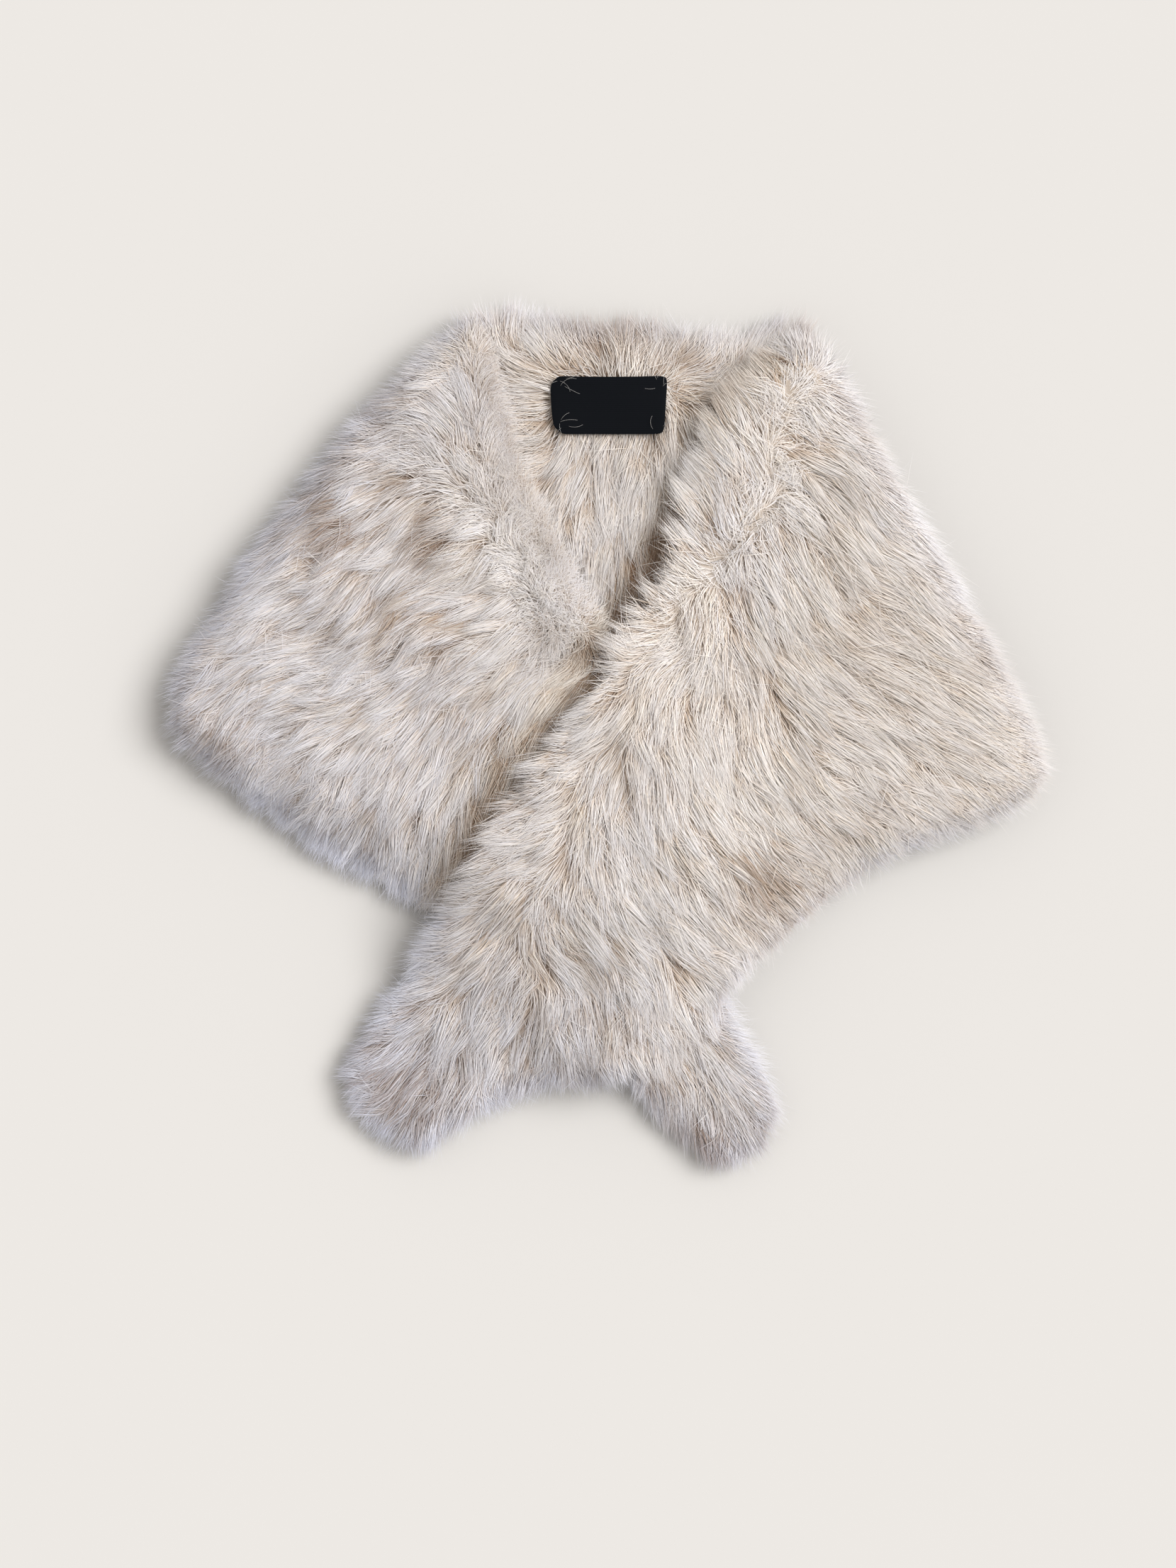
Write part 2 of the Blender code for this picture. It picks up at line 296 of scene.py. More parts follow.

# Just outside the topmost strip's edge, the pile is pressed down and shows its roots, and its tone is
# lowered and warmed there, which is partly painted shadow of that edge. It is from the first to the second
# depth of that strip, from and to these places along Y, and this deep inside its own outline.
PRESSED_SHADE_BAND = (-21.0, -5.0)
PRESSED_SHADE_FROM = (-114.0, -82.0)
PRESSED_SHADE_TO = (222.0, 125.0)
PRESSED_SHADE_INSIDE = (6.0, 20.0)
PRESSED_SHADE_TONE = 0.72
PRESSED_SHADE_WARMTH = 0.45
PRESSED_HEIGHT = 0.2
LEAST_TIP = 0.66

# The pile of a strip rises to meet the edge of the strip that lies over it, and around the label.
BANK_HEIGHTS = {"back": 8.0, "left": 9.0}
BANK_BAND = (-20.0, -1.0)
NEST_HEIGHT = 3.5
NEST_WIDTH = 11.0
NEST_START = (0.0, 2.5)
NEST_TIPS = (0.82, 0.92)

# Colour columns of the pile: every strand has one tone and one warmth. On the map that unrolls them, a strand
# fills this much of its column each way, and stays this far inside both ends.
TONES = 20
WARMTHS = 6
COLUMN_FILL = 0.3
COLUMN_MARGIN = 0.002

# Headings in degrees, anticlockwise from +X, at places (x, y) in millimetres. Between them each one weighs
# (its distance squared + COMB_NEAR squared) to the power COMB_POWER.
COMB_NEAR = 5.0
COMB_POWER = -1.6
BACK_COMB = (
    (-60, 226, 100), (-30, 226, 100), (0, 226, 92), (30, 222, 86), (60, 216, 72), (88, 212, 60),
    (-56, 217, 97), (-43, 210, 135), (-32, 207, 125), (-13, 204, 140), (0, 213, 105), (9, 204, 88),
    (18, 206, 76), (27, 217, 85), (40, 204, 60), (55, 208, 50), (44, 191, 325), (35, 174, 282),
    (-43, 182, 185), (-43, 169, 194), (-43, 160, 200), (-41, 147, 212), (-34, 139, 230),
    (-21, 147, 250), (-8, 147, 265), (13, 143, 262), (27, 139, 266), (-24, 118, 255), (-2, 110, 265),
    (10, 95, 268), (35, 162, 270), (0, 165, 268), (-20, 165, 262), (20, 165, 268),
)
LEFT_COMB = (
    (-68, 223, 98), (-59, 183, 95), (-59, 151, 92), (-40, 120, 80), (-21, 88, 60), (-11, 71, 40),
    (-87, 204, 188), (-140, 151, 205), (-171, 109, 207), (-203, 67, 205), (-222, 36, 197),
    (-228, 12, 217), (-203, -7, 225), (-171, -45, 235), (-140, -70, 250), (-108, -81, 265),
    (-83, -76, 262), (-119, 78, 225), (-87, 99, 217), (-76, 67, 198), (-64, 67, 207),
    (-76, 94, 215), (-52, 39, 207), (-40, 28, 225), (-46, 10, 245), (-55, 4, 240), (-52, -15, 255),
    (-66, -28, 250), (-64, -39, 258), (-76, -60, 257), (-150, 25, 200), (-171, 36, 198),
    (-24, 52, 250), (-19, 34, 210), (50, -170, 300), (80, -198, 305), (39, -190, 267),
    (60, -146, 305), (90, -190, 310), (56, -206, 290), (64, -173, 310),
)
RIGHT_COMB = (
    (99, 219, 100), (86, 209, 136), (69, 191, 128), (60, 186, 122), (47, 152, 120), (38, 128, 118),
    (30, 105, 125), (16, 84, 152), (6, 73, 158), (0, 48, 163), (-10, 24, 187), (-28, 14, 178),
    (-34, -5, 187), (-40, -27, 188), (-52, -49, 197), (-70, -73, 205), (-87, -87, 195),
    (84, 165, 115), (72, 140, 117), (60, 120, 118), (48, 97, 128), (30, 70, 150), (14, 46, 195),
    (2, 22, 215), (-10, 4, 208), (105, 156, 320), (122, 117, 308), (94, 105, 300), (72, 83, 300),
    (127, 178, 315), (96, 162, 310), (119, 126, 315), (143, 91, 325), (178, 44, 330), (213, -3, 333),
    (143, 32, 330), (119, -3, 322), (84, 44, 308), (49, 68, 290), (25, -3, 284), (14, 28, 245),
    (27, 10, 267), (39, -3, 290), (21, -15, 280), (2, -27, 273), (14, -51, 290), (33, -63, 300),
    (72, -38, 310), (49, -74, 305), (108, -62, 315), (25, -97, 300), (166, -38, 325), (2, -50, 285),
    (-45, -24, 192), (-62, -60, 204), (-92, -91, 188), (-96, -124, 200), (-117, -149, 193),
    (-134, -182, 190), (-125, -206, 222), (-101, -206, 253), (-89, -182, 244), (-76, -157, 244),
    (-66, -177, 266), (-43, -173, 265), (-27, -177, 275), (-2, -185, 290), (-51, -108, 235),
    (-35, -116, 308), (-15, -111, 322), (6, -124, 302), (-51, -140, 250), (-27, -148, 270),
    (6, -165, 285), (31, -157, 292), (23, -107, 305), (56, -107, 312),
)
# The ridge of short upright pile along the left fold: points along it, in millimetres.
LEFT_RIDGE = ((-61, 212), (-60, 190), (-58, 160), (-50, 126), (-33, 97), (-22, 74), (-26, 52))
# Partings, where the pile opens and its brown roots show, are also painted shade of the gaps and creases
# between locks: both ends in millimetres, width, and tone added.
LEFT_SHADED_PARTINGS = (
    (-106, 80, -123, 48, 4.0, -0.30), (-95, 63, -68, 56, 3.5, -0.26), (-52, 37, -66, 22, 4.0, -0.22),
    (-118, 142, -96, 118, 4.0, -0.16), (-84, 96, -62, 82, 3.5, -0.14), (-150, 18, -120, 6, 4.0, -0.14),
    (-74, -4, -84, -26, 4.0, -0.14), (-140, 60, -165, 52, 3.5, -0.12),
)
RIGHT_SHADED_PARTINGS = (
    (60, 30, 78, 4, 4.0, -0.14), (112, 62, 132, 48, 3.5, -0.12), (20, 30, 12, 6, 4.5, -0.18),
    (92, -10, 112, -24, 4.0, -0.12), (-18, -30, -14, -50, 4.5, -0.22), (-4, -146, 4, -164, 4.0, -0.2),
    (-42, -112, -34, -134, 5.0, -0.26), (-24, -104, -14, -124, 4.5, -0.26), (-56, -86, -44, -100, 4.5, -0.22),
    (59, 166, 88, 202, 6.0, -0.36), (62, -60, 84, -74, 3.5, -0.22), (-66, -112, -80, -128, 5.0, -0.16),
    (30, -50, 40, -70, 4.0, -0.14), (-60, -160, -52, -176, 4.0, -0.16), (40, 90, 54, 70, 4.0, -0.12),
    (100, 100, 122, 84, 3.5, -0.12),
)

# The pieces of pile of each stretch, and the plan box that each one's roots lie in.
WEST, SOUTH, EAST, NORTH = -250.0, -245.0, 250.0, 245.0
PILES = {
    "back_collar": {"back_collar_pile": ((WEST, SOUTH), (EAST, NORTH))},
    "left_front": {
        "left_front_pile_upper": ((WEST, 60), (40, NORTH)),
        "left_front_pile_lower": ((WEST, SOUTH), (0, 60)),
    },
    "right_tail": {"right_tail_pile": ((0, SOUTH), (EAST, 60))},
    "right_front": {
        "right_front_pile_nape": ((WEST, 80), (EAST, NORTH)),
        "right_front_pile_shoulder": ((85, -60), (EAST, 80)),
        "right_front_pile_crossing": ((WEST, -60), (85, 80)),
        "right_front_pile_end": ((-72, SOUTH), (EAST, -60)),
    },
    "left_tail": {"left_tail_pile": ((WEST, SOUTH), (-72, -60))},
}

# The label: its cloth, how much thinner its turned edges are, and how high it lies over its solid's base. Its
# corners are rounded more at the left, and higher powers keep that closer to the corners and the edges. Its
# outline tapers, bows and sags a little. Each wave has a height, a pitch each way and a start.
LABEL_COLUMNS = 48
LABEL_ROWS = 26
LABEL_CLOTH = 0.55
LABEL_EDGE_THINNER = 0.45
LABEL_EDGE_POWERS = (24, 14)
LABEL_LIFT = 0.3
LABEL_ROUNDING = (2.2, 1.0)
LABEL_CORNER_POWERS = (20, 10)
LABEL_WIDTH = 0.985
LABEL_TAPER = 0.03
LABEL_TALLER = 0.3
LABEL_UP = 1.0
LABEL_BOW = 0.8
LABEL_SAG = 0.6
LABEL_WAVES = ((0.16, 2.1, 0.0, 0.6), (0.12, 1.9, 3.0, 0.0))

# The loose threads at its corners: how far inside a corner they start, how high, how they bend and arch.
THREADS_A_CORNER = 5
THREAD_INWARD = (-1.0, 6.0)
THREAD_LIFT = 0.9
THREAD_LENGTH = (4.0, 11.0)
THREAD_RADIUS = 0.08
THREAD_BEND = 0.7
THREAD_ARCH = (0.5, 1.6)
THREAD_STEPS = 6
THREAD_SIDES = 4

# The stage: the way to the soft key light, its strength and spread, the sky, and half the floor in metres.
KEY_TOWARDS = (0.62, 0.24, 0.86)
KEY_STRENGTH = 3.0
KEY_SPREAD = math.radians(40)
KEY_COLOUR = (1.0, 0.995, 0.99)
SKY_COLOUR = (1.0, 0.972, 0.945, 1)
SKY_STRENGTH = 0.62
FLOOR_HALF = 60.0

# The camera: the height of the plane of the pile, and the part of that plane that fills the frame.
LENS = 85.0
SENSOR = 36.0
PILE_PLANE = 30.0
FRAME_HEIGHT = 840.6
FRAME_MIDDLE = (-10.4, -24.9)

Reach = namedtuple("Reach", "top bottom depth out_x out_y slope_x slope_y")
Flow = namedtuple("Flow", "x y calm")
Tufts = namedtuple("Tufts", "spacing low columns rows centres turn length height tone path")


class Plan:
    """A map of the wrap from above, with a value in each cell of GRID_STEP."""

    def __init__(self, low, high):
        self.x = np.arange(low.x / MM - GRID_MARGIN, high.x / MM + GRID_MARGIN, GRID_STEP)
        self.y = np.arange(low.y / MM - GRID_MARGIN, high.y / MM + GRID_MARGIN, GRID_STEP)
        self.shape = (len(self.y), len(self.x))
        self.across, self.up = np.meshgrid(self.x, self.y)

    def read(self, field, points):
        """The field's value at these plan points, between its cells."""
        column = np.clip((points[..., 0] - self.x[0]) / GRID_STEP, 0, len(self.x) - 1.001)
        row = np.clip((points[..., 1] - self.y[0]) / GRID_STEP, 0, len(self.y) - 1.001)
        left = column.astype(int)
        below = row.astype(int)
        right_share = column - left
        upper_share = row - below
        lower = field[below, left] * (1 - right_share) + field[below, left + 1] * right_share
        upper = field[below + 1, left] * (1 - right_share) + field[below + 1, left + 1] * right_share
        return lower * (1 - upper_share) + upper * upper_share


def between(limits, share):
    low, high = limits
    return low + (high - low) * share


def smoothstep(low, high, value):
    share = np.clip((value - low) / (high - low), 0, 1)
    return share * share * (3 - 2 * share)


def unit(x, y):
    """The direction of these plan vectors."""
    size = np.maximum(np.hypot(x, y), TINY)
    return x / size, y / size


def normalised(vectors):
    return vectors / np.maximum(np.linalg.norm(vectors, axis=-1, keepdims=True), TINY)


def near(points, x, y, radius):
    """How near these plan points are to one place, from 0 to 1."""
    return np.exp(-((points - (x, y)) ** 2).sum(1) / radius**2)


def around(field):
    """The field moved to each of the eight cells around."""
    for rows in (-1, 0, 1):
        for columns in (-1, 0, 1):
            if rows or columns:
                yield np.roll(field, (rows, columns), (0, 1))


def smoothed(field, passes):
    for _ in range(passes):
        field = (field + sum(around(field))) / 9
    return field


def filled(field, known, rings):
    """Carries the field outwards, ring by ring, from the cells where it is known."""
    field = np.where(known, field, 0.0)
    for _ in range(rings):
        count = sum(around(known.astype(float)))
        total = sum(around(np.where(known, field, 0.0)))
        fresh = ~known & (count > 0)
        field[fresh] = total[fresh] / count[fresh]
        known = known | fresh
    return field, known


def cad_tree(nodes):
    """A ray tree of these CAD nodes, in millimetres."""
    points = []
    faces = []
    for name in nodes:
        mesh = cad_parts[name].data
        first = len(points)
        points += [v.co / MM for v in mesh.vertices]
        faces += [[first + i for i in p.vertices] for p in mesh.polygons]
    return BVHTree.FromPolygons(points, faces)


def cast_heights(plan, tree, start, heading):
    """Height of the first surface that a vertical ray meets in each cell, and where there is one."""
    heights = np.zeros(plan.shape)
    met = np.zeros(plan.shape, bool)
    for row, y in enumerate(plan.y):
        for column, x in enumerate(plan.x):
            hit = tree.ray_cast(Vector((x, y, start)), Vector((0, 0, heading)))[0]
            if hit is not None:
                heights[row, column] = hit.z
                met[row, column] = True
    return heights, met


def distance_inside(plan, inside):
    """Distance from each cell to the outline, positive inside."""
    enough = sum(np.roll(inside, step, axis) for axis in (0, 1) for step in (-1, 1))
    outline = np.argwhere(inside & (enough < 4))
    tree = KDTree(len(outline))
    for number, (row, column) in enumerate(outline):
        tree.insert((plan.x[column], plan.y[row], 0), number)
    tree.balance()
    depth = np.zeros(plan.shape)
    for row, y in enumerate(plan.y):
        for column, x in enumerate(plan.x):
            depth[row, column] = tree.find((x, y, 0))[2]
    return np.where(inside, depth + GRID_STEP / 2, GRID_STEP / 2 - depth)


def reach_of(plan, nodes):
    """Top, bottom, depth inside the outline, way out and slope of one strip."""
    tree = cad_tree(nodes)
    top, met = cast_heights(plan, tree, RAYS_DOWN_FROM, -1)
    bottom, _ = cast_heights(plan, tree, RAYS_UP_FROM, 1)
    grown = met | np.any(list(around(met)), axis=0)
    inside = grown & np.all(list(around(grown)), axis=0)
    top, _ = filled(top, met, FILL_RINGS)
    bottom, _ = filled(bottom, met, FILL_RINGS)
    depth = smoothed(distance_inside(plan, inside), DEPTH_PASSES)
    rise_y, rise_x = np.gradient(smoothed(depth, SMOOTH_PASSES), GRID_STEP)
    slope_y, slope_x = np.gradient(smoothed((top + bottom) / 2, SMOOTH_PASSES), GRID_STEP)
    return Reach(top, bottom, depth, *unit(-rise_x, -rise_y), slope_x, slope_y)


def flow_of(plan, reach, comb):
    """Which way the pile lies: combed headings spread over the plan, turned outwards along the rim."""
    total_x = np.zeros(plan.shape)
    total_y = np.zeros(plan.shape)
    total = np.zeros(plan.shape)
    for x, y, heading in comb:
        weight = ((plan.across - x) ** 2 + (plan.up - y) ** 2 + COMB_NEAR**2) ** COMB_POWER
        total_x += weight * math.cos(math.radians(heading))
        total_y += weight * math.sin(math.radians(heading))
        total += weight
    calm = np.hypot(total_x, total_y) / total
    combed_x, combed_y = unit(total_x / total, total_y / total)
    leaving = combed_x * reach.out_x + combed_y * reach.out_y
    outward = OUTWARD - OUTWARD_LESS * smoothstep(*LEAVING_BAND, leaving)
    outward *= 1 - smoothstep(OUTWARD_START, RIM_BAND, reach.depth)
    flow_x = combed_x * (1 - outward) + reach.out_x * outward
    flow_y = combed_y * (1 - outward) + reach.out_y * outward
    return Flow(*unit(flow_x, flow_y), calm)


def comb_path(plan, flow, roots, turn, length):
    """Plan points of strands that follow the flow from their roots, each turned a little off it."""
    path = [roots]
    cos = np.cos(turn)
    sin = np.sin(turn)
    for _ in range(STRAND_STEPS):
        along_x, along_y = unit(plan.read(flow.x, path[-1]), plan.read(flow.y, path[-1]))
        step = np.stack([along_x * cos - along_y * sin, along_x * sin + along_y * cos], -1)
        path.append(path[-1] + step * (length / STRAND_STEPS)[:, None])
    return np.stack(path, 1)


def softer(points):
    """How far these places are on the side of the light, from 0 to 1."""
    return smoothstep(*SOFTER_BAND, points[:, 0])


def scatter_tufts(rng, plan, flow, spacing, turn):
    """One tuft in each cell of a loose grid, with its own turn, length, height and tone."""
    columns = int((plan.x[-1] - plan.x[0]) / spacing)
    rows = int((plan.y[-1] - plan.y[0]) / spacing)
    count = columns * rows
    cell = np.stack([np.tile(np.arange(columns), rows), np.repeat(np.arange(rows), columns)], -1)
    low = np.array([plan.x[0], plan.y[0]])
    centres = low + (cell + rng.uniform(*TUFT_PLACES, (count, 2))) * spacing
    turns = rng.normal(0, turn, count) * (1 - SOFTER_TURNS * softer(centres))
    length = rng.uniform(*TUFT_LENGTHS, count)
    path = comb_path(plan, flow, centres, turns, length * STRAND_LENGTH)
    height = rng.uniform(0, 1, count)
    tone = rng.normal(0, 1, count)
    return Tufts(spacing, low, columns, rows, centres, turns, length, height, tone, path)


def nearest_tuft(tufts, points):
    cell = ((points - tufts.low) / tufts.spacing).astype(int)
    best = np.full(len(points), np.inf)
    chosen = np.zeros(len(points), int)
    for up in (-1, 0, 1):
        for across in (-1, 0, 1):
            column = np.clip(cell[:, 0] + across, 0, tufts.columns - 1)
            row = np.clip(cell[:, 1] + up, 0, tufts.rows - 1)
            number = row * tufts.columns + column
            distance = ((tufts.centres[number] - points) ** 2).sum(1)
            nearer = distance < best
            best[nearer] = distance[nearer]
            chosen[nearer] = number[nearer]
    return chosen


def distance_to_line(points, line):
    """Plan distance from each point to a polyline."""
    best = np.full(len(points), np.inf)
    for start, end in zip(line[:-1], line[1:]):
        start = np.array(start, float)
        along = np.array(end, float) - start
        share = np.clip((points - start) @ along / (along @ along), 0, 1)
        best = np.minimum(best, np.linalg.norm(points - start - share[:, None] * along, axis=1))
    return best


class Strip:
    """One strip: its reach, its flow, its tufts and what lies over it."""

    def __init__(self, rng, plan, name, comb, ridge=(), shaded_partings=()):
        self.plan = plan
        self.name = name
        self.reach = reach_of(plan, STRIPS[name])
        self.flow = flow_of(plan, self.reach, comb)
        self.tufts = scatter_tufts(rng, plan, self.flow, TUFT_SPACING, TUFT_TURN)
        self.locks = scatter_tufts(rng, plan, self.flow, LOCK_SPACING, LOCK_TURN)
        self.ridge = ridge
        self.shaded_partings = shaded_partings
        self.covers = []
        self.lies_on = []
        relief = smoothed(rng.normal(0, 1, plan.shape), RELIEF_PASSES)
        self.relief = np.clip(0.5 + RELIEF_SPREAD * relief / relief.std(), 0, 1) * RELIEF_DEPTH
        self.relief_y, self.relief_x = np.gradient(self.relief, GRID_STEP)

    def depth(self, points):
        return self.plan.read(self.reach.depth, points)

    def out(self, points):
        """The way out to the nearest edge."""
        read = self.plan.read
        return np.stack([read(self.reach.out_x, points), read(self.reach.out_y, points)], -1)

    def calm(self, points):
        """How well the combed headings agree, from 0 to 1."""
        return smoothstep(*CALM_BAND, self.plan.read(self.flow.calm, points))

    def over_layer(self, points):
        """Whether a lower strip lies under these places, from 0 to 1."""
        return smoothstep(*UNDER_BAND, deepest(self.lies_on, points))

    def edge_over_layer(self, points):
        """Whether a lower strip lies under the part of the edge that is nearest to these places."""
        to_edge = np.maximum(self.depth(points), 0) + EDGE_STEP
        return self.over_layer(points + self.out(points) * to_edge[..., None])

    def soft_rim(self, points):
        """How near the edge over the floor these places are, from 0 to 1."""
        share = 1 - smoothstep(ROOT_INSET, SOFT_RIM_BAND, self.depth(points))
        return share * (1 - self.edge_over_layer(points))

    def layer_top(self, points):
        """Top of what lies under this strip."""
        top = np.zeros(points.shape[:-1])
        for below in self.lies_on:
            inside = smoothstep(*LAYER_EDGE, below.depth(points))
            top = np.maximum(top, self.plan.read(below.reach.top, points) * inside)
        return top

    def pressed_and_shaded(self, points):
        """How far the pile here is pressed down beside the topmost strip, and painted darker as its shadow,
        from 0 to 1.
        """
        if not self.covers:
            return np.zeros(len(points))
        share = smoothstep(*PRESSED_SHADE_BAND, self.covers[-1].depth(points))
        if self.name == "back":
            share = share * smoothstep(*PRESSED_SHADE_INSIDE, self.depth(points))
        return share * smoothstep(*PRESSED_SHADE_FROM, points[:, 1]) * smoothstep(*PRESSED_SHADE_TO, points[:, 1])

    def raised(self, points):
        """How much higher or lower than its reach the pile's surface is."""
        rise = -self.plan.read(self.relief, points)
        if self.name == "back":
            aside = label_distance(points)
            nest = 1 - smoothstep(0, NEST_WIDTH, aside)
            rise = rise * (1 - nest) + NEST_HEIGHT * nest * smoothstep(*NEST_START, aside)
        if self.covers:
            rise += BANK_HEIGHTS[self.name] * smoothstep(*BANK_BAND, self.covers[0].depth(points))
        return rise

    def heights(self, points):
        """Lowest and highest place for a strand at each point."""
        top = self.plan.read(self.reach.top, points) + self.raised(points)
        bottom = self.plan.read(self.reach.bottom, points)
        middle = (top + bottom) / 2
        half = np.maximum((top - bottom) / 2, RIM_HALF_HEIGHT)
        return np.maximum(middle - half, LOWEST), middle + half


def deepest(strips, points):
    """How deep inside the outline of any of these strips the points are."""
    depth = np.full(points.shape[:-1], -np.inf)
    for strip in strips:
        depth = np.maximum(depth, strip.depth(points))
    return depth


def label_distance(points):
    """Plan distance from each point to the label, which is 0 under it."""
    low, high = (np.array(v)[:2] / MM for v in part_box("label"))
    return np.linalg.norm(np.maximum(np.maximum(low - points, points - high), 0), axis=-1)


def sow(rng, strip, box, per_mm2, least_depth, most_depth, covered=COVERED):
    """Roots spread evenly over the part of a strip that shows, within the plan box."""
    (left, lower), (right, upper) = box
    count = int((right - left) * (upper - lower) * per_mm2)
    roots = np.stack([rng.uniform(left, right, count), rng.uniform(lower, upper, count)], -1)
    depth = strip.depth(roots)
    return roots[(depth > least_depth) & (depth < most_depth) & (deepest(strip.covers, roots) < covered)]


Strands = namedtuple("Strands", "points normals width tone warmth start")
Seeds = namedtuple("Seeds", "roots tuft lock offset stray crest upright rim")


def seeds_of(rng, strip, roots, rim):
    """Each root's tuft and lock, whether its strand is a stray one, and how far it stands out of its tuft."""
    count = len(roots)
    tuft = nearest_tuft(strip.tufts, roots)
    lock = nearest_tuft(strip.locks, strip.tufts.centres[tuft])
    upright = np.zeros(count)
    if strip.ridge:
        upright = 1 - smoothstep(*RIDGE_BAND, distance_to_line(roots, strip.ridge))
    stray = rng.random(count) < STRAY_SHARE
    return Seeds(roots, tuft, lock, roots - strip.tufts.centres[tuft], stray, rng.random(count), upright, rim)


def grow(rng, strip, coat, seeds):
    """Strands of one coat from these seeds."""
    count = len(seeds.roots)
    tuft_length = strip.tufts.length[seeds.tuft]
    calm = strip.calm(seeds.roots)
    outer = strip.soft_rim(seeds.roots)
    loose = np.where(seeds.stray, STRAY_LOOSE, 1.0) * (1 + UNCALM_LOOSE * (1 - calm))
    loose *= 1 + RIDGE_LOOSE * seeds.upright
    turn = strip.tufts.turn[seeds.tuft] + strip.locks.turn[seeds.lock]
    turn += rng.normal(0, coat.turn, count) * loose
    lean = (UNCALM_LENGTH + (1 - UNCALM_LENGTH) * calm) * (1 - RIDGE_SHORTER * seeds.upright)
    length = STRAND_LENGTH * coat.length * tuft_length * rng.uniform(*STRAND_LENGTHS, count) * lean
    length *= 1 + SOFTER_LONGER * softer(seeds.roots)
    path = comb_path(strip.plan, strip.flow, seeds.roots, turn, length)
    path = gather(rng, strip, seeds, path, length / (STRAND_LENGTH * tuft_length), outer)
    root_share, tip_share = ends(rng, strip, coat, seeds, path)
    path = shorten(rng, strip, coat, seeds, path, tip_share)
    points, fraction = lift(strip, seeds, path, root_share, tip_share)
    width = coat.width * rng.uniform(*STRAND_WIDTHS, count) * between(CREST_WIDTHS, seeds.crest)
    width *= np.where(seeds.stray, STRAY_WIDTH, 1.0)
    width *= (1 - RIDGE_FINER * seeds.upright) * (1 - RIM_FINER * outer)
    tone, warmth = shade(rng, strip, coat, seeds, path)
    return Strands(points, lit(strip, seeds, path, fraction), width, tone, warmth, UNCALM_START * (1 - calm))


def gather(rng, strip, seeds, path, scale, outer):
    """Draws strands to the path of their tuft, and that path to the path of its lock."""
    along = np.linspace(0, 1, STRAND_STEPS + 1)
    pull = np.where(seeds.stray, STRAY_PULL, TUFT_PULL * rng.uniform(*TUFT_PULLS, len(path)))
    pull *= (1 - RIDGE_LESS_PULL * seeds.upright) * (1 - RIM_LESS_PULL * outer)
    tuft_path = strip.tufts.path[seeds.tuft]
    drift = (LOCK_PULL * along**LOCK_CURVE)[None, :, None]
    tuft_path = tuft_path + (strip.locks.path[seeds.lock] - tuft_path) * drift
    drawn_in = seeds.offset[:, None] * (1 - along**OFFSET_CURVE)[None, :, None]
    centres = strip.tufts.centres[seeds.tuft][:, None]
    gathered = centres + (tuft_path - tuft_path[:, :1]) * scale[:, None, None] + drawn_in
    return path + (gathered - path) * (pull[:, None] * along[None, :] ** PULL_CURVE)[:, :, None]


def ends(rng, strip, coat, seeds, path):
    """The shares of the strip's height that each strand starts at and ends at."""
    count = len(path)
    if seeds.rim:
        root = rng.uniform(*RIM_SHARES, count)
        return root, np.clip(root + rng.normal(RIM_SAG, RIM_SPREAD, count), 0, 1)
    tip = between(coat.tips, TIP_BY_TUFT * strip.tufts.height[seeds.tuft] + TIP_BY_STRAND * seeds.crest)
    tip += TIP_BY_LOCK * (strip.locks.height[seeds.lock] - 0.5) + RIDGE_TIP * seeds.upright
    tip += STRAY_TIP * seeds.stray * rng.random(count)
    tip -= TUFT_CROWN * (seeds.offset**2).sum(1) / strip.tufts.spacing**2
    tip = np.maximum(tip - PRESSED_HEIGHT * strip.pressed_and_shaded(path[:, 1]), LEAST_TIP)
    if strip.name == "back":
        tip = np.where(label_distance(path[:, 1]) == 0, rng.uniform(*NEST_TIPS, count), tip)
    return np.full(count, ROOT_HEIGHT), tip


def shorten(rng, strip, coat, seeds, path, tip_share):
    """Draws strands in so that their tips end where the pile's edge is."""
    count = len(path)
    tips = path[:, -1]
    start = strip.depth(path[:, 0])
    end = strip.depth(tips)
    height = strip.tufts.height[seeds.tuft]
    overhang = between(coat.overhang, height) + rng.normal(0, STRAND_OVERHANG, count)
    over_layer = strip.over_layer(tips) * (1 - seeds.upright)
    lock_height = strip.locks.height[seeds.lock]
    overhang += (LAYER_OVERHANG * height + LOCK_OVERHANG * (lock_height - 0.5)) * over_layer
    overhang += RIDGE_OVERHANG * rng.normal(0, 1, count) * seeds.upright
    for spots, counts in ((REACH_SPOTS, 1 - over_layer), (LAYER_REACH_SPOTS, over_layer)):
        for x, y, radius, further in spots:
            overhang += further * near(tips, x, y, radius) * counts
    if seeds.rim:
        overhang -= RIM_ROUND * (1 - np.sqrt(1 - (2 * tip_share - 1) ** 2))
    if len(strip.lies_on) > 1:
        junction = near(tips, *TAIL_JUNCTION, TAIL_RADIUS)
        overhang += TAIL_OVERHANG * junction * over_layer * rng.random(count)
    overhang += np.where(seeds.stray, rng.uniform(*STRAY_OVERHANG, count), 0.0)
    share = np.where(end < -overhang, (start + overhang) / np.maximum(start - end, TINY), 1.0)
    share = np.clip(share, SHORTEST, 1.0)
    return path[:, :1] + (path - path[:, :1]) * share[:, None, None]


def lift(strip, seeds, path, root_share, tip_share):
    """Gives the strands their heights, and says which share of the strip's height that is."""
    low, high = strip.heights(path)
    support = np.maximum(strip.layer_top(path), LOWEST)
    along = np.linspace(0, 1, STRAND_STEPS + 1)
    rise = 1 - (1 - along) ** RISE_CURVE
    if seeds.rim:
        low = support
        high = np.broadcast_to(high[:, :1], low.shape)
        rise = along**RIM_RISE_CURVE
    fraction = root_share[:, None] + (tip_share - root_share)[:, None] * rise[None]
    height = low + (high - low) * fraction
    drooped = height - DROOP * np.maximum(-strip.depth(path), 0)
    height = np.maximum(drooped, np.minimum(support + fraction, height))
    return np.concatenate([path, height[..., None]], -1), fraction


